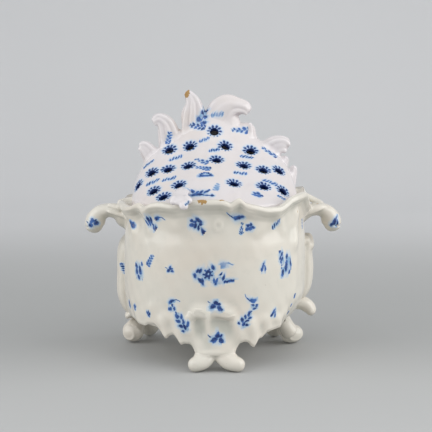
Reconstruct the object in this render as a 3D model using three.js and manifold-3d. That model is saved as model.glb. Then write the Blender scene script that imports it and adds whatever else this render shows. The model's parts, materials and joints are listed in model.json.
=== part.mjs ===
// A footed flower vase of glazed earthenware with a pierced cover for stems.
// Millimetres, +Z up. The bowed front faces -Y and the flat back faces +Y.
import * as THREE from "three";
import { mergeVertices } from "three/addons/utils/BufferGeometryUtils.js";
import Module from "manifold-3d";

const wasm = await Module();
wasm.setup();

// Plan of the vessel: a half circle in front, short straight sides, a flat back.
const HALF_WIDTH = 75.5;
const BACK_Y = 40;
const CORNER = 12;

// Heights.
const FLOOR_LOW = 30;
const FLOOR_TOP = 35;
const LEDGE_LOW = 117;
const LEDGE_TOP = 121;

// Clay thickness, and the slip joint left between two pieces.
const WALL = 5.2;
const GAP = 0.3;

// The pierced cover, measured inwards from the vessel's outer face.
const COVER_INSET = 6.2;
const COVER_SHOULDER = 128;
const COVER_TOP = 207;
const COVER_THICK = 4;
const STEM_HOLE = 7.2;

// Feet.
const FOOT_RING = 75;
const REAR_FOOT_RING = 71.5;
const REAR_FOOT_TURN = 117;

const v3 = (x, y, z) => new THREE.Vector3(x, y, z);

// Smooth value through [place, value] pairs.
function through(pairs, at) {
  if (at <= pairs[0][0]) return pairs[0][1];
  for (let i = 1; i < pairs.length; i++) {
    const [a, va] = pairs[i - 1];
    const [b, vb] = pairs[i];
    if (at <= b) return va + (vb - va) * THREE.MathUtils.smoothstep(at, a, b);
  }
  return pairs[pairs.length - 1][1];
}

// Straight-line value through [place, value] pairs.
function along(pairs, at) {
  if (at <= pairs[0][0]) return pairs[0][1];
  for (let i = 1; i < pairs.length; i++) {
    const [a, va] = pairs[i - 1];
    const [b, vb] = pairs[i];
    if (at <= b) return va + ((vb - va) * (at - a)) / (b - a);
  }
  return pairs[pairs.length - 1][1];
}

// Point on the plan: turn 0 is the middle of the front, 0.25 the right side.
// It comes with its outward direction, so that a piece can follow the wall.
const QUARTERS = [
  [0, "bow"],
  [0.3, "side"],
  [0.38, "corner"],
  [0.43, "back"],
  [0.5, "end"],
];
function plan(turn) {
  const t = turn > 0.5 ? 1 - turn : turn;
  const sign = turn > 0.5 ? -1 : 1;
  let i = 0;
  while (i < 3 && t > QUARTERS[i + 1][0]) i++;
  const f = (t - QUARTERS[i][0]) / (QUARTERS[i + 1][0] - QUARTERS[i][0]);
  let p;
  if (i === 0) {
    const a = (f * Math.PI) / 2;
    p = [HALF_WIDTH * Math.sin(a), -HALF_WIDTH * Math.cos(a), Math.sin(a), -Math.cos(a)];
  } else if (i === 1) {
    p = [HALF_WIDTH, f * (BACK_Y - CORNER), 1, 0];
  } else if (i === 2) {
    const a = (f * Math.PI) / 2;
    p = [
      HALF_WIDTH - CORNER + CORNER * Math.cos(a),
      BACK_Y - CORNER + CORNER * Math.sin(a),
      Math.cos(a),
      Math.sin(a),
    ];
  } else {
    p = [(1 - f) * (HALF_WIDTH - CORNER), BACK_Y, 0, 1];
  }
  return { x: sign * p[0], y: p[1], nx: sign * p[2], ny: p[3] };
}

// Bearing of a plan point in degrees: 0 in front, positive to the right.
const bearing = (p) => THREE.MathUtils.radToDeg(Math.atan2(p.x, -p.y));

// A closed skin: rings of points, each ring running round the piece.
// place(turn, ring) gives the point; the first and last ring may be one point.
function skin(sides, rings, place, closed = false) {
  const outline = [];
  for (let j = 0; j < rings; j++) outline.push(new THREE.Vector2(1, j));
  if (closed) outline.push(new THREE.Vector2(1, 0));
  const g = new THREE.LatheGeometry(outline, sides);
  const at = g.getAttribute("position");
  const per = outline.length;
  for (let k = 0; k < at.count; k++) {
    const p = place((Math.floor(k / per) % sides) / sides, (k % per) % rings);
    at.setXYZ(k, p.x, p.y, p.z);
  }
  return solid(g);
}

function solid(geometry) {
  const g = geometry.clone();
  g.deleteAttribute("normal");
  g.deleteAttribute("uv");
  const m = mergeVertices(g, 1e-4);
  const make = (index) =>
    new wasm.Manifold(
      new wasm.Mesh({
        numProp: 3,
        vertProperties: m.getAttribute("position").array,
        triVerts: new Uint32Array(index),
      }),
    );
  const made = make(m.index.array);
  return made.volume() < 0 ? make([...m.index.array].reverse()) : made;
}

// A shape with the slip joint's gap round it, enough to cut a neighbour by.
const grown = (shape) =>
  [[GAP, 0, 0], [-GAP, 0, 0], [0, GAP, 0], [0, -GAP, 0], [0, 0, GAP], [0, 0, -GAP]].reduce(
    (sum, step) => sum.add(shape.translate(step)),
    shape,
  );

// The largest body of a shape, without the slivers that a cut can leave.
function largest(shape) {
  return shape.decompose().sort((a, b) => b.volume() - a.volume())[0];
}

// A rolled tongue of clay along a curve: rounded at both ends, with a half width
// across the curve (w) and a half thickness along the facing direction (t).
function tongue(stops, facing, sides = 12, rings = 10) {
  const curve = new THREE.CatmullRomCurve3(
    stops.map((s) => v3(...s.at)),
    false,
    "centripetal",
  );
  const spread = (key) => stops.map((s, i) => [i / (stops.length - 1), s[key]]);
  const w = spread("w");
  const t = spread("t");
  const face = v3(...facing).normalize();
  const reach = curve.getLength();
  return skin(sides, rings, (turn, ring) => {
    const f = (1 - Math.cos((Math.PI * ring) / (rings - 1))) / 2;
    const capIn = Math.min(1, (f * reach) / along(w, 0));
    const capOut = Math.min(1, ((1 - f) * reach) / along(w, 1));
    const round = Math.sqrt(1 - (1 - capIn) ** 2) * Math.sqrt(1 - (1 - capOut) ** 2);
    const p = curve.getPoint(f);
    const run = curve.getTangent(f);
    const across = v3(0, 0, 0).crossVectors(run, face).normalize();
    const out = v3(0, 0, 0).crossVectors(across, run).normalize();
    const a = turn * 2 * Math.PI;
    return p
      .addScaledVector(across, Math.cos(a) * round * through(w, f))
      .addScaledVector(out, Math.sin(a) * round * through(t, f));
  });
}

// Height of the rim round the vessel, by bearing.
const RIM_LINE = [
  [-180, 129], [-140, 129], [-122, 127.5], [-105, 126], [-90, 125.5], [-78, 125], [-66, 124],
  [-56, 128], [-47, 126.5], [-36, 128.5], [-27, 129.5], [-14, 130.3], [10, 130.3],
  [15, 134], [19, 130], [34, 126], [46, 127], [56, 133], [67, 135], [76, 127], [88, 123],
  [97, 130], [108, 134.5], [122, 132], [140, 129], [180, 129],
];

// How far the rim flares outwards, by bearing: the back stays plain.
const FLARE_LINE = [
  [-180, 0.2], [-110, 0.25], [-85, 1], [85, 1], [96, 0.2], [180, 0.2],
];

// Lower edge of the wall: an apron with cusps beside the front foot.
const APRON_LINE = [
  [-180, 27], [-165, 24], [-150, 28], [-140, 28], [-115, 27], [-95, 30], [-75, 32], [-48, 31.5],
  [-42, 31], [-36, 28.5], [-31, 22.5], [-26, 26.5], [-21, 19.5], [-15, 23], [0, 24],
  [15, 23], [20, 21.5], [24.5, 17.5], [28, 24], [36, 30], [48, 31.5], [75, 32], [95, 30],
  [115, 27], [140, 28], [150, 28], [165, 24], [180, 27],
];

// Section of the wall, from the lower edge up the outside and down the inside:
// distance outwards from the plan, height, and what the height follows.
const WALL_SECTION = [
  [-1.5, 0, "apron"],
  [-0.6, 4, "apron"],
  [0, 52],
  [0.3, 75],
  [-0.2, 98],
  [-1.2, 112],
  [0.6, -7, "rim"],
  [3.8, -2.5, "rim"],
  [4.4, -0.6, "rim"],
  [3.0, 0.9, "rim"],
  [0.4, 0.6, "rim"],
  [-3.2, -3.2, "rim"],
  [-WALL, 121],
  [-WALL, 75],
  [-WALL, 0, "apron"],
];

function wallShell(grow = 0) {
  return skin(
    96,
    WALL_SECTION.length,
    (turn, ring) => {
      const p = plan(turn);
      const [out, up, follows] = WALL_SECTION[ring];
      const b = bearing(p);
      let z = up;
      if (follows === "rim") z = through(RIM_LINE, b) + up;
      if (follows === "apron") z = through(APRON_LINE, b) + up;
      if (ring === 12) z = Math.min(up, through(RIM_LINE, b) - 6);
      const flared = follows === "rim" && out > 0 ? out * through(FLARE_LINE, b) : out;
      const o = flared + (out > -3 ? grow : -grow);
      const dz = ring === 0 || ring === 14 ? -grow : ring > 8 && ring < 11 ? grow : 0;
      return v3(p.x + p.nx * o, p.y + p.ny * o, z + dz);
    },
    true,
  );
}

// A slab or ring that follows the plan, between two distances inwards.
function band(outer, inner, low, high, sides = 64) {
  const at = (o, z) => (turn) => {
    const p = plan(turn);
    return v3(p.x - p.nx * o, p.y - p.ny * o, z);
  };
  if (inner === null) {
    const rings = [() => v3(0, 0, low), at(outer, low), at(outer, high), () => v3(0, 0, high)];
    return skin(sides, 4, (turn, ring) => rings[ring](turn));
  }
  const rings = [at(outer, low), at(outer, high), at(inner, high), at(inner, low)];
  return skin(sides, 4, (turn, ring) => rings[ring](turn), true);
}

// The cover rises gently from the front and steeply at the back: at each height
// its plan is the vessel's, narrowed across and shortened towards the back.
const COVER_ACROSS = [
  [128, 69.3], [140, 67], [150, 63.5], [160, 57], [168, 49], [175, 39.5], [185, 27],
  [192, 19], [200, 11], [207, 5],
];
const COVER_DEPTH = [
  [128, 103.5], [131, 97], [138, 85], [146, 70], [154, 56], [162, 41], [172, 28], [185, 18.5],
  [196, 12], [207, 7.5],
];
const COVER_BACK = BACK_Y - COVER_INSET;

function coverPoint(turn, z, grow = 0, thin = 0) {
  const p = plan(turn);
  const x0 = p.x - p.nx * COVER_INSET;
  const y0 = p.y - p.ny * COVER_INSET;
  const zz = Math.max(z, COVER_SHOULDER);
  const across = (along(COVER_ACROSS, zz) - thin + grow) / (HALF_WIDTH - COVER_INSET);
  const back = COVER_BACK + grow - thin * 1.3;
  const depth = (along(COVER_DEPTH, zz) - thin * 2.2 + 2 * grow) / (COVER_BACK + HALF_WIDTH - COVER_INSET);
  const lean = 4 * THREE.MathUtils.smoothstep(zz, 180, COVER_TOP);
  return v3(x0 * across + lean, back - (COVER_BACK - y0) * depth, z);
}

// Distance forward of the cover's outer face at a place seen from the front.
function coverFace(x, z) {
  const across = along(COVER_ACROSS, z) / (HALF_WIDTH - COVER_INSET);
  const depth = along(COVER_DEPTH, z) / (COVER_BACK + HALF_WIDTH - COVER_INSET);
  const r = HALF_WIDTH - COVER_INSET;
  const lean = 4 * THREE.MathUtils.smoothstep(z, 180, COVER_TOP);
  const x0 = THREE.MathUtils.clamp((x - lean) / across, -r, r);
  return COVER_BACK - (COVER_BACK + Math.sqrt(r * r - x0 * x0)) * depth;
}

const OUTER_RINGS = [LEDGE_TOP + GAP, 128, 131, 138, 146, 154, 162, 168, 175, 185, 192, 200, COVER_TOP];
const INNER_RINGS = [184, 176, 168, 160, 150, 140, 131];

function coverShell() {
  const foot = OUTER_RINGS[0];
  const rings = [
    ...OUTER_RINGS.map((z) => (turn) => coverPoint(turn, z)),
    () => v3(4, COVER_BACK - 3.5, COVER_TOP + 1),
  ];
  const inner = [
    () => v3(1, COVER_BACK - 10, 187.5),
    ...INNER_RINGS.map((z) => (turn) => {
      const p = coverPoint(turn, z + COVER_THICK, 0, 3);
      p.z = z;
      return p;
    }),
    (turn) => {
      const p = plan(turn);
      return v3(p.x - p.nx * 13.5, p.y - p.ny * 13.5, 125);
    },
    (turn) => {
      const p = plan(turn);
      return v3(p.x - p.nx * 13.5, p.y - p.ny * 13.5, foot);
    },
  ];
  const whole = skin(56, rings.length + 1, (turn, ring) =>
    ring === 0 ? v3(0, 0, foot) : rings[ring - 1](turn),
  );
  const space = skin(56, inner.length + 1, (turn, ring) =>
    ring === inner.length ? v3(0, 0, foot) : inner[ring](turn),
  );
  return { whole, space };
}

// Stem holes: centre as seen from the front, across and up.
const STEM_HOLES = [
  [-0.5, 183], [-38.5, 167.5], [-21, 170.5], [9, 171], [30, 167], [1.5, 160.5], [-22, 156],
  [-38.5, 153], [-52.5, 150], [-64, 139], [-49.5, 137], [-29, 142], [24, 156], [40, 152.5],
  [53.5, 151.5], [15.5, 143.5], [39.5, 140.5], [55.5, 136.5], [-41, 133.5],
];

function stemHole([x, z]) {
  const y = coverFace(x, z);
  // The drill follows whichever axis the face looks along most.
  const e = 1;
  const slopeX = (coverFace(x + e, z) - coverFace(x - e, z)) / (2 * e);
  const slopeZ = (coverFace(x, z + e) - coverFace(x, z - e)) / (2 * e);
  const drill = new THREE.CylinderGeometry(STEM_HOLE / 2, STEM_HOLE / 2, 30, 12);
  if (Math.abs(slopeZ) >= Math.max(1, Math.abs(slopeX))) drill.rotateX(Math.PI / 2);
  else if (Math.abs(slopeX) > 1) drill.rotateZ(Math.PI / 2);
  return solid(drill.translate(x, y, z));
}

// A two-lobed scroll foot, made at the front and turned into place.
function foot(ring, top) {
  const half = (s) =>
    tongue(
      [
        { at: [s * 7, 2, 26], w: 8.5, t: 6 },
        { at: [s * 8.6, -1, 16], w: 8.4, t: 7 },
        { at: [s * 11.6, -1.4, 9.4], w: 8.4, t: 7.6 },
        { at: [s * 16.5, -0.6, 6.9], w: 8, t: 7.6 },
        { at: [s * 21.8, 0, 6.6], w: 7.4, t: 7.2 },
      ],
      [0, -1, 0],
      12,
      12,
    );
  // The knee over the two lobes spreads upwards into the apron.
  const knee = tongue(
    [
      { at: [0, 4, top + 3], w: 21, t: 4 },
      { at: [0, -1.5, 24], w: 19, t: 6.4 },
      { at: [0, -1, 15.5], w: 15.5, t: 6.2 },
      { at: [0, -1, 10], w: 8, t: 5 },
    ],
    [0, -1, 0],
    14,
    9,
  );
  const trim = solid(new THREE.BoxGeometry(90, 60, 20).translate(0, 0, -10));
  return half(-1)
    .add(half(1))
    .add(knee)
    .subtract(trim)
    .translate([0, -ring, 0]);
}

// Scroll along the wall: a tongue given by bearing-free x, depth and height.
const rightStrapWhole = tongue(
  [
    { at: [72, 19, 97], w: 8, t: 6 },
    { at: [78.4, 19, 92.5], w: 10.5, t: 7.6 },
    { at: [77.2, 19, 82], w: 11, t: 7 },
    { at: [77.4, 19, 64], w: 9.5, t: 7.2 },
    { at: [75.6, 19, 48], w: 9, t: 6.4 },
    { at: [70, 19, 36], w: 8.5, t: 4.5 },
  ],
  [1, 0, 0],
  12,
  12,
);
const leftStrapWhole = tongue(
  [
    { at: [-70, 19, 97], w: 6, t: 5 },
    { at: [-76.4, 19, 84], w: 10.5, t: 7.4 },
    { at: [-77, 19, 62], w: 10, t: 7.2 },
    { at: [-77, 19, 42], w: 9.5, t: 7.2 },
    { at: [-74.5, 19, 32], w: 8.5, t: 6.4 },
    { at: [-71, 19, 24], w: 7, t: 4 },
  ],
  [-1, 0, 0],
  12,
  12,
);

const vessel = wallShell();
const wallRoom = wallShell(GAP);
const clear = wallRoom.add(band(2.5, null, 15, 126));
const cutY = 36;
const behind = (y) => solid(new THREE.BoxGeometry(300, 100, 400).translate(0, y + 50, 100));
const turned = (shape, degrees) => shape.rotate([0, 0, degrees]);

const floorPlate = band(WALL + GAP, null, FLOOR_LOW, FLOOR_TOP);
const ledge = band(WALL + GAP, 10.2, LEDGE_LOW, LEDGE_TOP);

const footTrim = wallRoom.add(band(WALL - 0.5, null, FLOOR_LOW - GAP, 60));
const frontFoot = largest(foot(FOOT_RING, 31).subtract(footTrim));
const rightFoot = largest(turned(foot(REAR_FOOT_RING, 30), REAR_FOOT_TURN).subtract(footTrim));
const leftFoot = largest(turned(foot(REAR_FOOT_RING, 30), -REAR_FOOT_TURN).subtract(footTrim));

// The shell over the front foot: a wavy lip with a rib between two hollows.
const onFront = (x, z, out = 1.2) => [x, -Math.sqrt((HALF_WIDTH + out) ** 2 - x * x), z];
const lip = (stops) =>
  tongue(stops.map(([x, z, w, out]) => ({ at: onFront(x, z, out), w, t: w * 1.15 })), [0, -1, 0], 10, 15);
const frontShell = largest(
  lip([[-27, 30, 3, 0.6], [-24, 37, 3.2, 1], [-19, 41.6, 3.2, 1.4], [-12, 42.6, 3, 1.6], [-4, 45, 3.2, 1.6]])
    .add(lip([[-6, 45, 3, 1.6], [3, 44.4, 3, 1.6], [13, 41.8, 3.2, 1.4], [20, 37, 3.2, 1], [25, 30, 3, 0.6]]))
    .add(lip([[-5, 45, 2.6, 1.4], [-4, 37, 3.4, 1], [0, 29, 5, 0.8]]))
    .subtract(clear)
    .subtract(grown(frontFoot)),
);

const rightStrap = largest(rightStrapWhole.subtract(clear));
const leftStrap = largest(leftStrapWhole.subtract(clear).subtract(grown(leftFoot)));

// Channelled scroll handles that grow out of the rim.
const handle = (s, stops) =>
  tongue(stops.map(([x, z, t, w]) => ({ at: [s * x, 9, z], w, t })), [0, 0, 1], 14, 13);
const rollEnd = (s, x, z, r, half) =>
  solid(
    new THREE.CapsuleGeometry(r, 2 * half, 4, 12).translate(s * x, 9, z),
  );
const leftHandleWhole = handle(-1, [
  [58, 108, 15, 14],
  [75, 111, 14.4, 13],
  [82, 115.4, 9.6, 12],
  [91, 117.4, 6.4, 11.5],
  [98.5, 114.2, 7, 11],
  [103, 103, 7.4, 10.5],
]).add(rollEnd(-1, 101.6, 103.7, 8.9, 3));
const rightHandleWhole = handle(1, [
  [58, 110, 14, 14],
  [74, 114, 10.5, 13],
  [82, 118.8, 7.6, 12],
  [90, 118.6, 6.6, 11.5],
  [96, 115, 7, 11],
  [100, 106, 7.2, 10.5],
])
  .add(rollEnd(1, 98.9, 105.6, 8.4, 3))
  .add(
    tongue(
      [
        { at: [66, 19, 130], w: 6, t: 2.6 },
        { at: [75, 19, 127], w: 5, t: 2.6 },
        { at: [86, 17, 121.5], w: 4.4, t: 2.6 },
      ],
      [0, -1, 0],
      10,
    ),
  );
const groove = (s, x0, x1, z0, z1) =>
  tongue(
    [
      { at: [s * x0, 8, z0 + 6], w: 5.5, t: 6 },
      { at: [s * (x0 + x1) / 2, 8, (z0 + z1) / 2 + 6], w: 5, t: 6 },
      { at: [s * x1, 8, z1 + 6], w: 2.6, t: 4.5 },
    ],
    [0, 0, 1],
    12,
  );
const leftHandle = largest(leftHandleWhole.subtract(groove(-1, 70, 86, 121, 122)).subtract(clear));
const rightHandle = largest(rightHandleWhole.subtract(groove(1, 68, 85, 119, 123)).subtract(clear));

// Small scrolls at the lower ends of the straps.
const hook = (s, stops) =>
  tongue(stops.map(([x, z, w]) => ({ at: [s * x, 18, z], w: 7.5, t: w })), [0, 0, 1], 12, 11);
const rightHook = largest(
  hook(1, [[62, 33, 5], [72, 34, 5], [78.6, 33, 5.4], [82, 29, 5], [82, 25, 3.6]])
    .subtract(clear)
    .subtract(grown(rightStrapWhole)),
);
const leftHook = largest(
  hook(-1, [[62, 27, 3.5], [70, 27, 4], [74.6, 25, 3.6], [76, 21.5, 2.6]])
    .subtract(clear)
    .subtract(grown(leftStrapWhole))
    .subtract(grown(leftFoot)),
);

// The cover and the collar that locates it inside the ledge.
const cover = coverShell();
let pierced = cover.whole.subtract(cover.space);
for (const hole of STEM_HOLES) pierced = pierced.subtract(stemHole(hole));
pierced = largest(pierced);
const collar = band(10.9, 13.6, 113, LEDGE_TOP);

// Curling leaves along the crest, each rooted on the cover's top edge.
const coverClear = skin(64, OUTER_RINGS.length + 2, (turn, ring) => {
  if (ring === 0) return v3(0, 0, 121);
  if (ring > OUTER_RINGS.length) return v3(4, COVER_BACK - 3.5, COVER_TOP + 1 + GAP);
  const p = coverPoint(turn, OUTER_RINGS[ring - 1], GAP);
  if (ring > 1) p.z += GAP;
  return p;
});
const leaf = (stops, y = 27) =>
  largest(
    tongue(stops.map(([x, z, w, t, dy = 0]) => ({ at: [x, y + dy, z], w, t })), [0, -1, 0], 12, 13)
      .subtract(coverClear),
  );
const LEAVES = {
  leaf_low_left: leaf(
    [[-47, 154, 9, 6], [-55, 164, 7.4, 5.6], [-60.5, 170, 6, 5.2], [-65, 170.5, 3.4, 4.2]], 24),
  leaf_mid_left: leaf(
    [[-37, 164, 11, 6.5], [-39, 180, 9.2, 6], [-42, 189.5, 7.6, 5.6], [-48, 193.4, 5.6, 5.2],
      [-52.6, 190.6, 3.6, 4.2]], 26),
  leaf_flame: leaf(
    [[-16, 184, 11, 6], [-18, 197, 9, 6], [-19.6, 206, 7, 5.4], [-22.6, 213, 4.6, 4.4],
      [-25.6, 217, 2.2, 3]], 27),
  leaf_crown: leaf(
    [[5, 190, 14, 6], [5.5, 202, 11, 6], [13, 206.6, 8, 6.5], [22.5, 205, 6.8, 7],
      [28, 200.6, 5, 6.4], [28, 197, 3, 5]], 27),
  leaf_knob: leaf([[21, 168, 10, 6], [26, 178, 9, 5.8], [28.6, 184, 7, 5.4], [31, 187, 3.6, 4.2]], 26),
  leaf_right: leaf(
    [[42, 160, 10, 6], [49, 170, 9, 6], [56, 173.4, 7.4, 5.8], [61, 170, 5, 5]], 25),
  leaf_spur: leaf([[53, 149, 6.5, 4.8], [58, 157, 5, 4.2], [61.4, 162, 2.8, 3]], 22),
  leaf_thorn: leaf([[61, 132, 6, 4.8], [65.6, 145, 4.4, 4], [67.6, 154.5, 2.6, 2.8]], 18),
};

// The small scroll of the cover's front edge, lapping over the rim.
const edgeScroll = largest(
  tongue(
    [
      { at: [-31, -66, 134], w: 6.5, t: 3 },
      { at: [-31, -75, 134.4], w: 7, t: 3 },
      { at: [-30.5, -82.6, 132.2], w: 6.4, t: 2.8 },
      { at: [-29.5, -84.4, 128.4], w: 4.2, t: 2.4 },
    ],
    [0, -0.5, 1],
    12,
    11,
  )
    .subtract(coverClear)
    .subtract(clear)
    .subtract(wallShell(GAP).translate([0, 0, GAP])),
);

// Finish of each piece.
const VESSEL_GLAZE = { color: 0xe4dfd6, roughness: 0.22, metalness: 0 };
const COVER_GLAZE = { color: 0xe6e0e2, roughness: 0.22, metalness: 0 };

function piece(name, shape, finish) {
  const m = shape.getMesh();
  const g = new THREE.BufferGeometry();
  g.setAttribute("position", new THREE.BufferAttribute(new Float32Array(m.vertProperties), 3));
  g.setIndex(new THREE.BufferAttribute(new Uint32Array(m.triVerts), 1));
  g.computeVertexNormals();
  const mesh = new THREE.Mesh(g, new THREE.MeshStandardMaterial(finish));
  mesh.name = name;
  return mesh;
}

const vase = new THREE.Group();
vase.name = "footed_flower_vase";
const VESSEL_PIECES = {
  vessel_wall: largest(vessel.subtract(behind(cutY))),
  back_wall: largest(vessel.intersect(behind(cutY + GAP))),
  floor_plate: floorPlate,
  cover_ledge: ledge,
  front_foot: frontFoot,
  left_foot: leftFoot,
  right_foot: rightFoot,
  front_shell: frontShell,
  left_strap: leftStrap,
  right_strap: rightStrap,
  left_hook: leftHook,
  right_hook: rightHook,
  left_handle: leftHandle,
  right_handle: rightHandle,
};
const COVER_PIECES = {
  pierced_cover: pierced,
  cover_collar: collar,
  ...LEAVES,
  edge_scroll: edgeScroll,
};
for (const [name, shape] of Object.entries(VESSEL_PIECES)) vase.add(piece(name, shape, VESSEL_GLAZE));
for (const [name, shape] of Object.entries(COVER_PIECES)) vase.add(piece(name, shape, COVER_GLAZE));

// The middle of the object's footprint is the origin, and its feet stand on z = 0.
const bounds = new THREE.Box3().setFromObject(vase);
const middle = bounds.getCenter(v3(0, 0, 0));
vase.position.set(-middle.x, -middle.y, -bounds.min.z);

export default vase;
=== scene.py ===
"""A footed flower vase of glazed earthenware, dressed over its CAD frame.

Shapes are worked out in millimetres in the potter's own frame: the axis of the round
front is at x = y = 0, the table is z = 0, the front faces -Y. settle() takes each
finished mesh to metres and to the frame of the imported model.
"""

import json
import math

import bmesh
import bpy
import numpy as np
from mathutils import Matrix, Vector
from mathutils.bvhtree import BVHTree

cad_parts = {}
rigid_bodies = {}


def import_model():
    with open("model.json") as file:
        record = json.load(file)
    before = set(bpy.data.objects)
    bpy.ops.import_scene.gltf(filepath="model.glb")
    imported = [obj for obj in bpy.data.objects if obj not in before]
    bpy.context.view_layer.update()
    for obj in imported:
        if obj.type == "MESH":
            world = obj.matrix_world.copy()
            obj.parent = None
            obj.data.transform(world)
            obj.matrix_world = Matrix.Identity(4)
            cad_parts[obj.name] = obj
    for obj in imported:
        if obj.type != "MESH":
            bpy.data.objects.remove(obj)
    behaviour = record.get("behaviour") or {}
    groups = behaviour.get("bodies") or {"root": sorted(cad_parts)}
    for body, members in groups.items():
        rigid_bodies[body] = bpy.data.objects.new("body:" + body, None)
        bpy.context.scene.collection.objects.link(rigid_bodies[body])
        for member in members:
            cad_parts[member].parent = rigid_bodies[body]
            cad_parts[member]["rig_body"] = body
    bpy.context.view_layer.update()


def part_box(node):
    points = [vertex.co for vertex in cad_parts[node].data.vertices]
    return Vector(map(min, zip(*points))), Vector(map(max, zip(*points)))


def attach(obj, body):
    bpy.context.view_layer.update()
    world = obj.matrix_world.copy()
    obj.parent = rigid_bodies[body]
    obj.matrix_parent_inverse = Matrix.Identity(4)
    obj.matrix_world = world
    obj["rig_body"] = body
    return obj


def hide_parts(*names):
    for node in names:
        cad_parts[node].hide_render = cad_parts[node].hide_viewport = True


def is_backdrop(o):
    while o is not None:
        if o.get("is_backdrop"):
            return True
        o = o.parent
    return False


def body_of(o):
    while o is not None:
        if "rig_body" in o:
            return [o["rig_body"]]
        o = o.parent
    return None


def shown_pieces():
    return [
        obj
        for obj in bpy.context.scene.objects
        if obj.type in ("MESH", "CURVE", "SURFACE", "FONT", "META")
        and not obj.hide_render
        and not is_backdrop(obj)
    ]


bl_info = {
    "name": "Footed flower vase",
    "version": (1, 0, 0),
    "blender": (4, 5, 0),
    "location": "View3D > Sidebar > Vase",
    "description": "A glazed flower holder with a pierced cover, its painting and its studio",
    "category": "Object",
}

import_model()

MM = 0.001
HALF_WIDTH = 75.5
BACK_Y = 40.0
CORNER = 12.0
WALL = 5.2
FLOOR_LOW, FLOOR_TOP = 30.0, 35.0
LEDGE_LOW, LEDGE_TOP, LEDGE_INSET = 117.0, 121.0, 10.2
# Room between the wall and the floor or ledge that is bedded in it.
BEDDING = 0.3
COLLAR_LOW, COLLAR_OUT, COLLAR_IN = 113.0, 10.9, 13.6
COVER_INSET = 6.2
COVER_BACK = BACK_Y - COVER_INSET
COVER_HALF = HALF_WIDTH - COVER_INSET
COVER_TOP = 207.0
COVER_THICK = 4.0
HOLE_RADIUS = 3.6
KEEL = 3.2

# The floor plate tells where the potter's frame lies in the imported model.
_low, _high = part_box("floor_plate")
SHIFT = Vector(((_low.x + _high.x) / 2, _low.y + 70 * MM, _low.z - FLOOR_LOW * MM))
TO_ROW = Matrix.Translation(SHIFT) @ Matrix.Scale(MM, 4)

# The front view: where the eye stands, in the potter's frame.
EYE = Vector((0.98, -850.0, 209.9))
EYE_PITCH = 0.1134
EYE_FOCUS = 1020.5
PICTURE = 432


# Numbers along lines.


def ease(pairs, at):
    """Smoothstep value through (place, value) pairs, for an array of places."""
    xs = np.array([p[0] for p in pairs], float)
    ys = np.array([p[1] for p in pairs], float)
    at = np.clip(at, xs[0], xs[-1])
    i = np.clip(np.searchsorted(xs, at, side="right") - 1, 0, len(xs) - 2)
    f = (at - xs[i]) / (xs[i + 1] - xs[i])
    return ys[i] + (ys[i + 1] - ys[i]) * f * f * (3 - 2 * f)


def flow(pairs, at):
    """Value through (place, value) pairs on a curve without overshoot."""
    xs = np.array([p[0] for p in pairs], float)
    ys = np.array([p[1] for p in pairs], float)
    at = np.clip(at, xs[0], xs[-1])
    step = np.diff(xs)
    rise = np.diff(ys) / step
    slope = np.zeros(len(xs))
    slope[0], slope[-1] = rise[0], rise[-1]
    same = rise[:-1] * rise[1:] > 0
    w1, w2 = 2 * step[1:] + step[:-1], step[1:] + 2 * step[:-1]
    with np.errstate(divide="ignore", invalid="ignore"):
        mean = (w1 + w2) / (w1 / rise[:-1] + w2 / rise[1:])
    slope[1:-1] = np.where(same, mean, 0)
    i = np.clip(np.searchsorted(xs, at, side="right") - 1, 0, len(xs) - 2)
    h = step[i]
    t = (at - xs[i]) / h
    return (
        (2 * t**3 - 3 * t**2 + 1) * ys[i]
        + (t**3 - 2 * t**2 + t) * h * slope[i]
        + (3 * t**2 - 2 * t**3) * ys[i + 1]
        + (t**3 - t**2) * h * slope[i + 1]
    )


def swept(stops, f):
    """Points, and whatever else the stops carry, at places 0..1 along a smooth line."""
    stops = np.array(stops, float)
    stops = np.vstack([2 * stops[0] - stops[1], stops, 2 * stops[-1] - stops[-2]])
    gaps = np.linalg.norm(np.diff(stops[:, :3], axis=0), axis=1) ** 0.5
    at = np.clip(f, 0, 1) * (len(stops) - 3)
    i = np.clip(at.astype(int), 0, len(stops) - 4)
    t = (at - i)[:, None]
    a, b, c, d = (stops[i + k] for k in range(4))
    g0, g1, g2 = (gaps[i + k][:, None] for k in range(3))
    in_ = ((b - a) / g0 - (c - a) / (g0 + g1) + (c - b) / g1) * g1
    out = ((c - b) / g1 - (d - b) / (g1 + g2) + (d - c) / g2) * g1
    return (
        b
        + in_ * t
        + (3 * (c - b) - 2 * in_ - out) * t**2
        + (2 * (b - c) + in_ + out) * t**3
    )


def plan(turn):
    """Points and outward directions of the vessel's plan; turn 0.25 is the right side."""
    turn = turn % 1
    t = np.where(turn > 0.5, 1 - turn, turn)
    sign = np.where(turn > 0.5, -1.0, 1.0)
    bow = np.clip(t / 0.3, 0, 1) * math.pi / 2
    side = np.clip((t - 0.3) / 0.08, 0, 1)
    bend = np.clip((t - 0.38) / 0.05, 0, 1) * math.pi / 2
    back = np.clip((t - 0.43) / 0.07, 0, 1)
    half = HALF_WIDTH - CORNER
    x = np.where(t < 0.38, HALF_WIDTH * np.sin(bow), (half + CORNER * np.cos(bend)))
    x = np.where(t > 0.43, half * (1 - back), x)
    y = np.where(t < 0.3, -HALF_WIDTH * np.cos(bow), side * (BACK_Y - CORNER))
    y = np.where(t > 0.38, BACK_Y - CORNER + CORNER * np.sin(bend), y)
    nx = np.where(t < 0.38, np.sin(bow), np.cos(bend))
    ny = np.where(t < 0.3, -np.cos(bow), np.where(t < 0.38, 0, np.sin(bend)))
    return sign * x, y, sign * nx, ny


# Clay.


def spun_order(part):
    """Where a vertex, edge or face of a spun section comes, by its row and then its turn."""
    corners = getattr(part, "verts", [part])
    x, y, z = sum((v.co for v in corners), Vector()) / len(corners)
    return round(z, 4) * 1000 + math.atan2(x, -y) / (2 * math.pi) % 1


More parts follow.
